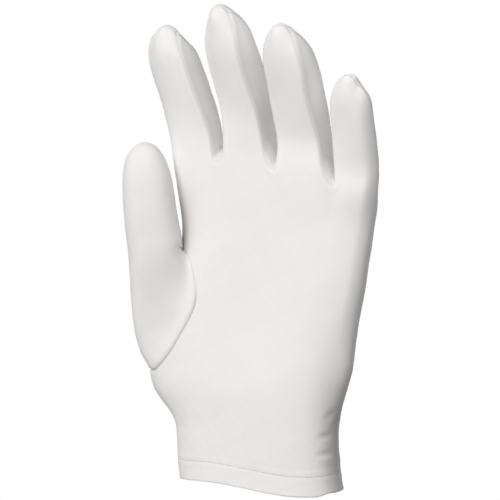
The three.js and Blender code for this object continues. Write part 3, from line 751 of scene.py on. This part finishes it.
def fitted_cloth():
    """The smooth cloth through the cage's points, for which the cage is moved a few times."""
    rounding = cage_piece.modifiers.new("rounding", "SUBSURF")
    rounding.levels = rounding.render_levels = 1
    wanted = coordinates(cage_mesh)
    placed = wanted.copy()
    for _ in range(FIT_ROUNDS):
        trial = evaluated(cage_piece)
        placed += wanted - coordinates(trial)[: len(wanted)]
        bpy.data.meshes.remove(trial)
        cage_mesh.vertices.foreach_set("co", placed.ravel())
        cage_mesh.update()
    rounding.levels = rounding.render_levels = FINENESS
    cloth = evaluated(cage_piece)
    bpy.data.objects.remove(cage_piece)
    return cloth


cloth = fitted_cloth()
surface = coordinates(cloth)
outwards = coordinates(cloth, "normals")

# Seams: deep, wide: the groove. welt: the cloth that swells beside it. pucker: the ripples that
# each stitch draws, whose length is the pitch. shadow: how dark the seam's line is, from 0 to 1.
SEAMS = dict(
    side=dict(deep=0.35, wide=0.55, welt=0.1, pucker=0.05, pitch=2.4, shadow=0.4),
    fork=dict(deep=0.15, wide=0.5, welt=0.2, pucker=0.08, pitch=2.4, shadow=0.2),
    thumb=dict(deep=0.8, wide=0.55, welt=0.22, pucker=0.07, pitch=2.8, shadow=1.0),
    hem=dict(deep=0.02, wide=0.6, welt=0.12, pucker=0.04, pitch=2.6, shadow=0.0),
)
WELT_AT = 1.7  # distance of the swelling from the seam
WELT_WIDE = 1.0
PUCKER_WIDE = 2.6
SHADOW_WIDE = 0.5
# The thumb's seam is crisp below and softens between two heights towards the crotch.
THUMB_SOFTENS_FROM = 84.0
THUMB_SOFTENS_TO = 96.0
THUMB_SOFTENS_BY = 0.65


def seam_lines():
    """Each kind of seam as chains of vertex numbers, in their order along the seam."""
    found = bmesh.new()
    found.from_mesh(cloth)
    lines = {}
    for kind in SEAMS:
        edges = {e for e in found.edges if seam_kind(e) == kind}
        chains = []
        while edges:
            ends = {}
            for e in edges:
                for v in e.verts:
                    ends[v] = ends.get(v, 0) + 1
            first = next((v for v in sorted(ends, key=lambda v: v.index) if ends[v] != 2), None)
            first = first or min(ends, key=lambda v: v.index)
            chain = [first]
            while True:
                onward = next((e for e in chain[-1].link_edges if e in edges), None)
                if onward is None:
                    break
                edges.discard(onward)
                chain.append(onward.other_vert(chain[-1]))
            chains.append([v.index for v in chain])
        lines[kind] = chains
    found.free()
    return lines


seams = seam_lines()


def along_chain(chain):
    """Distance along a chain of vertices from its first."""
    steps = np.linalg.norm(np.diff(surface[chain], axis=0), axis=1)
    return np.concatenate([[0.0], np.cumsum(steps)])


def near_seam(kind):
    """Distance of each point of the cloth from a kind of seam, and its place along it."""
    chains = seams[kind]
    numbers = [v for chain in chains for v in chain]
    places = np.concatenate([along_chain(chain) for chain in chains])
    tree = KDTree(len(numbers))
    for k, v in enumerate(numbers):
        tree.insert(surface[v], k)
    tree.balance()
    distance = np.empty(len(surface))
    place = np.empty(len(surface))
    for k, point in enumerate(surface):
        _, nearest, distance[k] = tree.find(point)
        place[k] = places[nearest]
    return distance, place


def fade(value, low, high):
    """0 below low, 1 above high, eased between."""
    t = np.clip((value - low) / (high - low), 0.0, 1.0)
    return t * t * (3 - 2 * t)


def bell(ratio):
    """1 in the middle, and next to nothing at twice the width."""
    return np.exp(-(ratio**2))


push = np.zeros(len(surface))
seam_mask = np.zeros(len(surface))
seam_distance = {}
for kind, seam in SEAMS.items():
    distance, place = near_seam(kind)
    seam_distance[kind] = distance
    strength = np.ones(len(surface))
    if kind == "thumb":
        strength -= THUMB_SOFTENS_BY * fade(surface[:, 2], THUMB_SOFTENS_FROM, THUMB_SOFTENS_TO)
    groove = -seam["deep"] * bell(distance / seam["wide"])
    welt = seam["welt"] * bell((distance - WELT_AT) / WELT_WIDE)
    ripple = np.sin(2 * math.pi * place / seam["pitch"])
    pucker = seam["pucker"] * ripple * bell(distance / PUCKER_WIDE)
    push += strength * (groove + welt + pucker)
    seam_mask = np.maximum(seam_mask, seam["shadow"] * strength * bell(distance / SHADOW_WIDE))

# Folds, each a trough with a lip on either side. turn: degrees round the body from the middle of
# the palm, 90 at the little finger's edge and -90 at the thumb's. up: share of the palm's height.
# wide, deep: millimetres. bow: how far the middle of the fold rises, in millimetres.
FOLDS = [
    dict(turn=84, up=0.17, to_turn=58, to_up=0.16, wide=2.4, deep=0.5, bow=0.8),
    dict(turn=84, up=0.118, to_turn=56, to_up=0.112, wide=2.2, deep=0.5, bow=0.5),
    dict(turn=86, up=0.24, to_turn=66, to_up=0.215, wide=2.6, deep=0.35, bow=0.8),
    dict(turn=-62, up=0.205, to_turn=-20, to_up=0.185, wide=3.4, deep=0.12, bow=1.0),
    dict(turn=-70, up=0.175, to_turn=-30, to_up=0.165, wide=3.0, deep=0.1, bow=0.6),
    dict(turn=120, up=0.2, to_turn=168, to_up=0.17, wide=4.5, deep=0.6, bow=1.5),
    dict(turn=104, up=0.14, to_turn=150, to_up=0.13, wide=3.4, deep=0.5, bow=-1.0),
    dict(turn=200, up=0.19, to_turn=250, to_up=0.22, wide=4.5, deep=0.55, bow=1.5),
    dict(turn=170, up=0.26, to_turn=215, to_up=0.25, wide=5.0, deep=0.4, bow=2.0),
]
FOLD_STEPS = 30
FOLD_LIP = 1.1
FOLD_ENDS = 0.7  # less is a fold that keeps its depth nearer to its ends
FOLD_REACH = 3.0  # widths of a fold beyond which it does nothing


def body_spot(turn, up):
    middle, half, front, back, squareness = body_section(up)
    across = math.sin(math.radians(turn))
    depth = round_off(across, squareness)
    y = -depth * front if math.cos(math.radians(turn)) > 0 else depth * back
    x = middle + half * across
    return np.array((x, y, body_height(up, x, 0.0)))


for fold in FOLDS:
    line = []
    for step in range(FOLD_STEPS + 1):
        t = step / FOLD_STEPS
        spot = body_spot(mix(fold["turn"], fold["to_turn"], t), mix(fold["up"], fold["to_up"], t))
        spot[2] += fold["bow"] * math.sin(math.pi * t)
        line.append(spot)
    line = np.array(line)
    reach = FOLD_REACH * fold["wide"]
    low, high = line.min(axis=0) - reach, line.max(axis=0) + reach
    near = np.flatnonzero(np.all((surface > low) & (surface < high), axis=1))
    gaps = np.linalg.norm(surface[near, None, :] - line[None, :, :], axis=2)
    nearest = gaps.argmin(axis=1)
    ratio = gaps.min(axis=1) / fold["wide"]
    ends = np.sin(math.pi * nearest / FOLD_STEPS) ** FOLD_ENDS
    push[near] -= fold["deep"] * ends * (1 - FOLD_LIP * ratio**2) * bell(ratio)

# The cloth is never quite even: slow waves, one to a few centimetres long. deep: millimetres.
# along: radians to a millimetre in each direction. start: radians.
SLACK = [
    dict(deep=0.06, along=(0.26, 0.1, 0.16), start=0.3),
    dict(deep=0.05, along=(-0.14, 0.22, 0.34), start=1.9),
    dict(deep=0.03, along=(0.62, -0.24, 0.24), start=4.1),
    dict(deep=0.025, along=(-0.36, 0.48, 0.72), start=2.6),
    dict(deep=0.02, along=(1.2, 0.4, 1.0), start=5.2),
]
for wave in SLACK:
    push += wave["deep"] * np.sin(surface @ np.array(wave["along"]) + wave["start"])

# Painted shade: the palm's side is painted darker in the crook of the thumb, where the thumb's
# shadow falls, and on the little finger's side of the wrist, where the cloth turns from the light.
# right, up: the middle of the spot. wide, tall: its reach. All in millimetres.
PAINTED_SHADE_SPOTS = [
    dict(right=-36.5, up=123.0, wide=6.0, tall=16.0, strength=1.0),
    dict(right=39.0, up=24.0, wide=7.0, tall=26.0, strength=0.75),
]
PAINTED_SHADE_ENDS_BEHIND = 6.0
painted_shade_mask = np.zeros(len(surface))
for spot in PAINTED_SHADE_SPOTS:
    sideways = bell((surface[:, 0] - spot["right"]) / spot["wide"])
    upwards = bell((surface[:, 2] - spot["up"]) / spot["tall"])
    painted_shade_mask += spot["strength"] * sideways * upwards
painted_shade_mask *= 1 - fade(surface[:, 1], 0.0, PAINTED_SHADE_ENDS_BEHIND)
on_thumb = {v for face in cloth.polygons if face.material_index == THUMB for v in face.vertices}
painted_shade_mask[list(on_thumb)] = 0

# Painted shade: a fork is painted greyer beside its seams, from one height up to another, and in
# its crotch, the part that faces up or forward, where shade falls between the fingers. Millimetres,
# and shares of a straight facing.
FORK_PAINTED_SHADE_WIDE = 4.5
FORK_PAINTED_SHADE_FROM = 158.0
FORK_PAINTED_SHADE_TO = 178.0
CROTCH_FACING_FROM = 0.3
CROTCH_FACING_TO = 0.6
fork_painted_shade_mask = bell(seam_distance["fork"] / FORK_PAINTED_SHADE_WIDE)
fork_painted_shade_mask *= fade(surface[:, 2], FORK_PAINTED_SHADE_FROM, FORK_PAINTED_SHADE_TO)
up_or_forward = np.maximum(outwards[:, 2], -outwards[:, 1])
fork_painted_shade_mask = np.maximum(fork_painted_shade_mask, fade(up_or_forward, CROTCH_FACING_FROM, CROTCH_FACING_TO))

placed = surface + outwards * push[:, None]
cloth.vertices.foreach_set("co", (placed * MM).ravel())
cloth.update()
# Masks for the materials: the spot mask is painted shade in the crook of the thumb and on the wrist's
# side, and the fork mask is painted shade beside the fork seams and in the crotches.
for name, values in (("seam", seam_mask), ("spot", painted_shade_mask), ("fork_painted_shade", fork_painted_shade_mask)):
    mask = cloth.attributes.new(name, "FLOAT", "POINT")
    mask.data.foreach_set("value", values.astype(np.float32))


# Materials

RIB = 0.75  # millimetres from rib to rib of the knit
LOOP = 0.55  # and from loop to loop
RIB_SWAY = 0.25  # ribs that the lines wander sideways
RIB_SWAY_FINENESS = 0.35
LOOP_SHARE = 0.3  # share of a rib's height that its loops take up
KNIT_RELIEF = 0.06 * MM
BETWEEN_RIBS = 0.04  # how much darker the knit is between its ribs
IN_SEAMS = 0.6  # and in its seams

CLOTH_WHITE = (0.86, 0.853, 0.842)
CLOTH_WARM = (0.85, 0.835, 0.825)
# Painted shade for the crook of the thumb and the little finger's side of the wrist
PAINTED_SHADE_COLOUR = (0.6, 0.57, 0.54)
# Painted light: the forks' white is painted lighter than the rest of the cloth, standing in for light
# on the side walls between the fingers
FORK_WHITE_PAINTED_LIGHTER = (0.965, 0.957, 0.945)
FORK_WARM_PAINTED_LIGHTER = (0.93, 0.918, 0.905)
# Painted shade beside the fork seams and in the crotches
FORK_PAINTED_SHADE = (0.82, 0.812, 0.802)
SEAM_SHADOW = (0.42, 0.41, 0.4)
THREAD_LIGHT = (0.86, 0.855, 0.845)
THREAD_DARK = (0.74, 0.735, 0.725)


def node(tree, kind, place, **inputs):
    made = tree.nodes.new(kind)
    made.location = place
    for name, value in inputs.items():
        made.inputs[name.replace("_", " ")].default_value = value
    return made


def attribute(tree, name, place):
    """A mask that the cloth carries, from 0 to 1."""
    made = node(tree, "ShaderNodeAttribute", place)
    made.attribute_name = name
    return made.outputs["Fac"]


def maths(tree, operation, place, a, b=None, c=None):
    """The result of a math node whose inputs are numbers or other nodes' outputs."""
    made = node(tree, "ShaderNodeMath", place)
    made.operation = operation
    for socket, value in zip(made.inputs, (a, b, c)):
        if value is None:
            continue
        if isinstance(value, bpy.types.NodeSocket):
            tree.links.new(value, socket)
        else:
            socket.default_value = value
    return made.outputs[0]


def blend(tree, place, share, first, second):
    """A share of the way from one colour to another. The first may be another node's output."""
    made = node(tree, "ShaderNodeMix", place)
    made.data_type = "RGBA"
    tree.links.new(share, made.inputs["Factor"])
    if isinstance(first, bpy.types.NodeSocket):
        tree.links.new(first, made.inputs["A"])
    else:
        made.inputs["A"].default_value = (*first, 1.0)
    made.inputs["B"].default_value = (*second, 1.0)
    return made.outputs["Result"]


def knit_group():
    """Fine warp knit: ribs of chained loops. Height for a bump, and Shade between the ribs."""
    group = bpy.data.node_groups.new("warp knit", "ShaderNodeTree")
    face = group.interface
    face.new_socket("Cloth", in_out="INPUT", socket_type="NodeSocketVector")
    for name, value in (("Rib", RIB), ("Loop", LOOP), ("Unevenness", RIB_SWAY)):
        face.new_socket(name, in_out="INPUT", socket_type="NodeSocketFloat").default_value = value
    face.new_socket("Height", in_out="OUTPUT", socket_type="NodeSocketFloat")
    face.new_socket("Shade", in_out="OUTPUT", socket_type="NodeSocketFloat")
    inputs = node(group, "NodeGroupInput", (-1200, 0))
    output = node(group, "NodeGroupOutput", (800, 0))
    split = node(group, "ShaderNodeSeparateXYZ", (-1000, 0))
    link = group.links.new
    link(inputs.outputs["Cloth"], split.inputs[0])
    wobble = node(group, "ShaderNodeTexNoise", (-1000, -300), Scale=RIB_SWAY_FINENESS, Detail=2.0)
    link(inputs.outputs["Cloth"], wobble.inputs["Vector"])
    sway = maths(group, "MULTIPLY", (-820, -300), wobble.outputs["Fac"], inputs.outputs["Unevenness"])
    across = maths(group, "DIVIDE", (-800, 100), split.outputs["X"], inputs.outputs["Rib"])
    across = maths(group, "ADD", (-640, 100), across, sway)
    upward = maths(group, "DIVIDE", (-800, -100), split.outputs["Y"], inputs.outputs["Loop"])
    turn = maths(group, "MULTIPLY", (-620, 200), across, math.pi)
    rib = maths(group, "ABSOLUTE", (-300, 200), maths(group, "SINE", (-460, 200), turn))
    within = maths(group, "PINGPONG", (-460, 0), across, 0.5)
    chevron = maths(group, "ADD", (-300, -60), upward, within)
    turn = maths(group, "MULTIPLY", (-150, -60), chevron, 2 * math.pi)
    loop = maths(group, "SINE", (0, -60), turn)
    loop = maths(group, "MULTIPLY_ADD", (150, -60), loop, LOOP_SHARE, 1 - LOOP_SHARE)
    height = maths(group, "MULTIPLY", (320, 100), rib, loop)
    link(height, output.inputs["Height"])
    link(maths(group, "SUBTRACT", (480, -40), 1.0, height), output.inputs["Shade"])
    return group


KNIT = knit_group()


def cloth_finish(name, colour, warm, painted_shade_at, painted_shade):
    """White nylon knit: faint clouding, painted shade where one of the cloth's masks says so, a
    painted shadow line in the seams and a soft roughness."""
    material = bpy.data.materials.new(name)
    material.use_nodes = True
    tree = material.node_tree
    tree.nodes.clear()
    link = tree.links.new
    out = node(tree, "ShaderNodeOutputMaterial", (1100, 0))
    fibre = node(
        tree, "ShaderNodeBsdfPrincipled", (800, 0), Specular_IOR_Level=0.2, Sheen_Weight=0.02,
        Sheen_Roughness=0.5, Subsurface_Weight=0.12, Subsurface_Radius=(1.0, 1.0, 1.0),
        Subsurface_Scale=1.5 * MM,
    )
    link(fibre.outputs[0], out.inputs["Surface"])
    knit_uv = node(tree, "ShaderNodeUVMap", (-900, 0))
    knit_uv.uv_map = "knit"
    knit = node(tree, "ShaderNodeGroup", (-650, 0))
    knit.node_tree = KNIT
    link(knit_uv.outputs[0], knit.inputs["Cloth"])
    place = node(tree, "ShaderNodeTexCoord", (-900, 400))
    cloud = node(tree, "ShaderNodeTexNoise", (-650, 400), Scale=22.0, Detail=3.0, Roughness=0.5)
    link(place.outputs["Object"], cloud.inputs["Vector"])
    clouding = node(tree, "ShaderNodeMapRange", (-450, 400), From_Min=0.35, From_Max=0.7)
    link(cloud.outputs["Fac"], clouding.inputs["Value"])
    tint = blend(tree, (-200, 300), clouding.outputs["Result"], colour, warm)
    # Painted shade where the mask says so
    tint = blend(tree, (-50, 450), attribute(tree, painted_shade_at, (-400, 550)), tint, painted_shade)
    between_ribs = maths(tree, "MULTIPLY", (-400, -200), knit.outputs["Shade"], BETWEEN_RIBS)
    seam = attribute(tree, "seam", (-650, -350))
    dark = maths(tree, "MULTIPLY_ADD", (-200, -250), seam, IN_SEAMS, between_ribs)
    dark.node.use_clamp = True
    link(blend(tree, (100, 200), dark, tint, SEAM_SHADOW), fibre.inputs["Base Color"])
    rough = node(tree, "ShaderNodeMapRange", (100, -100), To_Min=0.66, To_Max=0.86)
    link(knit.outputs["Shade"], rough.inputs["Value"])
    link(rough.outputs["Result"], fibre.inputs["Roughness"])
    bump = node(tree, "ShaderNodeBump", (500, -250), Strength=0.28, Distance=KNIT_RELIEF)
    link(knit.outputs["Height"], bump.inputs["Height"])
    link(bump.outputs[0], fibre.inputs["Normal"])
    return material


def thread_finish():
    material = bpy.data.materials.new("white sewing thread")
    material.use_nodes = True
    tree = material.node_tree
    fibre = tree.nodes["Principled BSDF"]
    fibre.inputs["Roughness"].default_value = 0.6
    place = node(tree, "ShaderNodeTexCoord", (-900, 0))
    twist = node(tree, "ShaderNodeTexWave", (-650, 0), Scale=900.0, Distortion=1.5)
    tree.links.new(place.outputs["Object"], twist.inputs["Vector"])
    tone = blend(tree, (-300, 0), twist.outputs["Fac"], THREAD_LIGHT, THREAD_DARK)
    tree.links.new(tone, fibre.inputs["Base Color"])
    return material


thread = thread_finish()
# The forks' finish is painted lighter than the rest as painted light. Every finish carries painted
# shade from its mask and a painted shadow line in the seams.
FINISHES = dict(
    nylon_knit=cloth_finish("white nylon knit", CLOTH_WHITE, CLOTH_WARM, "spot", PAINTED_SHADE_COLOUR),
    fork_knit=cloth_finish("white nylon knit, forks", FORK_WHITE_PAINTED_LIGHTER, FORK_WARM_PAINTED_LIGHTER, "fork_painted_shade", FORK_PAINTED_SHADE),
    hem_knit=cloth_finish("white nylon knit, hem", CLOTH_WHITE, CLOTH_WARM, "spot", PAINTED_SHADE_COLOUR),
)
SLOTS = dict(palm_panel="nylon_knit", back_panel="nylon_knit", thumb="nylon_knit", cuff_hem="hem_knit")

# The turned hem's lower edge is round.
HEM_ROUNDING = 0.55
HEM_ROUNDING_STEPS = 3
HEM_CORNER_TURN = 50


def cut_piece(number, name):
    """One piece of the glove, cut out of the cloth along its seams, with its own wall."""
    cut = bmesh.new()
    cut.from_mesh(cloth)
    bmesh.ops.delete(cut, geom=[f for f in cut.faces if f.material_index != number], context="FACES")
    for face in cut.faces:
        face.material_index = 0
        face.smooth = True
    # The cut edges are sharp, so that the shading runs on across a seam.
    for edge in cut.edges:
        edge.smooth = not edge.is_boundary
    mesh = bpy.data.meshes.new(name)
    cut.to_mesh(mesh)
    cut.free()
    piece = add_object(name + "_cloth", mesh)
    slot = SLOTS.get(name, "fork_knit")
    mesh.materials.append(FINISHES[slot])
    wall = piece.modifiers.new("wall", "SOLIDIFY")
    wall.thickness = (HEM_WALL if number == HEM else WALL) * MM
    wall.offset = -1
    if number == HEM:
        rim = piece.modifiers.new("rolled edge", "BEVEL")
        rim.width = HEM_ROUNDING * MM
        rim.segments = HEM_ROUNDING_STEPS
        rim.limit_method = "ANGLE"
        rim.angle_limit = math.radians(HEM_CORNER_TURN)
    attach(piece, "root")
    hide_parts(name)


for number, name in enumerate(PIECES):
    cut_piece(number, name)


# Stitches: small threads that lie on the seams


def stitch_row(stitches, chain, pitch, length, thick, lift, across=0.0):
    """Stitches along a chain of the cloth's vertices, in millimetres. lift raises each one, and
    across turns it from along the seam, in degrees."""
    places = along_chain(chain)
    count = int(places[-1] / pitch)
    for k in range(count):
        at = (k + 0.5) * pitch
        i = int(np.searchsorted(places, at)) - 1
        t = (at - places[i]) / max(places[i + 1] - places[i], 1e-6)
        spot = Vector(mix(placed[chain[i]], placed[chain[i + 1]], t))
        along = Vector(surface[chain[min(i + 2, len(chain) - 1)]] - surface[chain[max(i - 1, 0)]])
        out = Vector(outwards[chain[i]])
        along = (along - out * along.dot(out)).normalized()
        turned = Matrix.Rotation(math.radians(across), 3, out) @ along
        side = out.cross(turned)
        spot += out * lift
        turn = Matrix((turned * length / 2, side * thick / 2, out * thick / 2)).transposed().to_4x4()
        bmesh.ops.create_uvsphere(
            stitches, u_segments=6, v_segments=4, radius=1.0,
            matrix=Matrix.Scale(MM, 4) @ Matrix.Translation(spot) @ turn,
        )


def add_stitches(name, slot, chains, **how):
    stitches = bmesh.new()
    for chain in chains:
        stitch_row(stitches, chain, **how)
    for face in stitches.faces:
        face.smooth = True
    mesh = bpy.data.meshes.new(name)
    stitches.to_mesh(mesh)
    stitches.free()
    mesh.materials.append(thread)
    piece = add_object(name, mesh)
    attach(piece, "root")


add_stitches(
    "hem_stitches", "hem_knit", seams["hem"],
    pitch=SEAMS["hem"]["pitch"], length=1.4, thick=0.24, lift=0.04,
)
add_stitches(
    "side_stitches", "nylon_knit", seams["side"],
    pitch=SEAMS["side"]["pitch"], length=1.1, thick=0.26, lift=0.1, across=72,
)
bpy.data.meshes.remove(cloth)

# Floor, light and camera

PHOTO_AZIMUTH = math.radians(20)
CAMERA_AWAY = 2.0
CAMERA_SIDE = -0.0052
CAMERA_HEIGHT = 0.11115
VIEW_WIDE = 0.2375
SENSOR = 36.0
FLOOR_DROP = 1.2
FLOOR_HALF = 0.6

right_of_view = Vector((math.cos(PHOTO_AZIMUTH), math.sin(PHOTO_AZIMUTH), 0))
towards_camera = Vector((math.sin(PHOTO_AZIMUTH), -math.cos(PHOTO_AZIMUTH), 0))
camera = add_object("camera", bpy.data.cameras.new("camera"))
camera.location = towards_camera * CAMERA_AWAY + right_of_view * CAMERA_SIDE
camera.location.z += CAMERA_HEIGHT
camera.rotation_euler = (-towards_camera).to_track_quat("-Z", "Y").to_euler()
camera.data.sensor_width = SENSOR
camera.data.lens = SENSOR * CAMERA_AWAY / VIEW_WIDE
camera.data.clip_start = 0.05
camera.data.clip_end = 50
bpy.context.scene.camera = camera

floor_form = bmesh.new()
bmesh.ops.create_grid(floor_form, x_segments=1, y_segments=1, size=FLOOR_HALF)
bmesh.ops.translate(floor_form, verts=floor_form.verts, vec=(0, 0, -FLOOR_DROP))
floor_mesh = bpy.data.meshes.new("floor")
floor_form.to_mesh(floor_mesh)
floor_form.free()
floor = add_object("floor", floor_mesh)
floor_paint = bpy.data.materials.new("pale floor")
floor_paint.use_nodes = True
paint = floor_paint.node_tree.nodes["Principled BSDF"]
paint.inputs["Base Color"].default_value = (0.9, 0.9, 0.9, 1)
paint.inputs["Roughness"].default_value = 0.9
floor_mesh.materials.append(floor_paint)
floor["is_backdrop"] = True


MIDDLE_OF_GLOVE = (0, 0, 0.11)
FINGERS_AT = (0.02, -0.01, 0.19)


def add_light(name, azimuth, elevation, away, size, power, aim=MIDDLE_OF_GLOVE):
    """A square soft light. Its azimuth is counted as the camera's is."""
    lamp = bpy.data.lights.new(name, "AREA")
    lamp.energy = power
    lamp.size = size
    light = add_object(name, lamp)
    a, e = math.radians(azimuth), math.radians(elevation)
    back = Vector((math.sin(a) * math.cos(e), -math.cos(a) * math.cos(e), math.sin(e)))
    light.location = Vector(aim) + back * away
    light.rotation_euler = (-back).to_track_quat("-Z", "Y").to_euler()


add_light("front light", azimuth=-10, elevation=17, away=1.6, size=0.9, power=19)
add_light("left light", azimuth=-75, elevation=15, away=1.6, size=1.2, power=1.0)
add_light("back light", azimuth=-140, elevation=22, away=1.6, size=1.0, power=14)
add_light("right light", azimuth=48, elevation=25, away=0.45, size=0.3, power=0.42, aim=FINGERS_AT)
add_light("rim light", azimuth=105, elevation=28, away=0.32, size=0.25, power=0.17, aim=FINGERS_AT)

# The studio is dim, and brighter above in front. The camera sees a white ground.
SURROUND_DIM = 0.14
SURROUND_BRIGHT = 0.3
BRIGHT_SIDE = (-0.2, -0.6, 0.77)
DARK_BELOW = -0.7
world = bpy.data.worlds.new("studio")
bpy.context.scene.world = world
world.use_nodes = True
sky = world.node_tree
sky.nodes.clear()
seen = node(sky, "ShaderNodeBackground", (0, 100), Strength=1.0)
seen.inputs["Color"].default_value = (1, 1, 1, 1)
lit = node(sky, "ShaderNodeBackground", (0, -100))
lit.inputs["Color"].default_value = (1, 1, 1, 1)
heading = node(sky, "ShaderNodeTexCoord", (-800, -200))
facing = node(sky, "ShaderNodeVectorMath", (-600, -200))
facing.operation = "DOT_PRODUCT"
facing.inputs[1].default_value = BRIGHT_SIDE
sky.links.new(heading.outputs["Generated"], facing.inputs[0])
walls = node(
    sky, "ShaderNodeMapRange", (-400, -200),
    From_Min=DARK_BELOW, To_Min=SURROUND_DIM, To_Max=SURROUND_BRIGHT,
)
sky.links.new(facing.outputs["Value"], walls.inputs["Value"])
sky.links.new(walls.outputs["Result"], lit.inputs["Strength"])
path = node(sky, "ShaderNodeLightPath", (-200, 300))
choice = node(sky, "ShaderNodeMixShader", (250, 0))
end = node(sky, "ShaderNodeOutputWorld", (450, 0))
sky.links.new(path.outputs["Is Camera Ray"], choice.inputs[0])
sky.links.new(lit.outputs[0], choice.inputs[1])
sky.links.new(seen.outputs[0], choice.inputs[2])
sky.links.new(choice.outputs[0], end.inputs[0])
bpy.context.scene.view_settings.view_transform = "Standard"

low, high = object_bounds()
{"cad": [list(solids_low), list(solids_high)], "visual": [list(low), list(high)]}
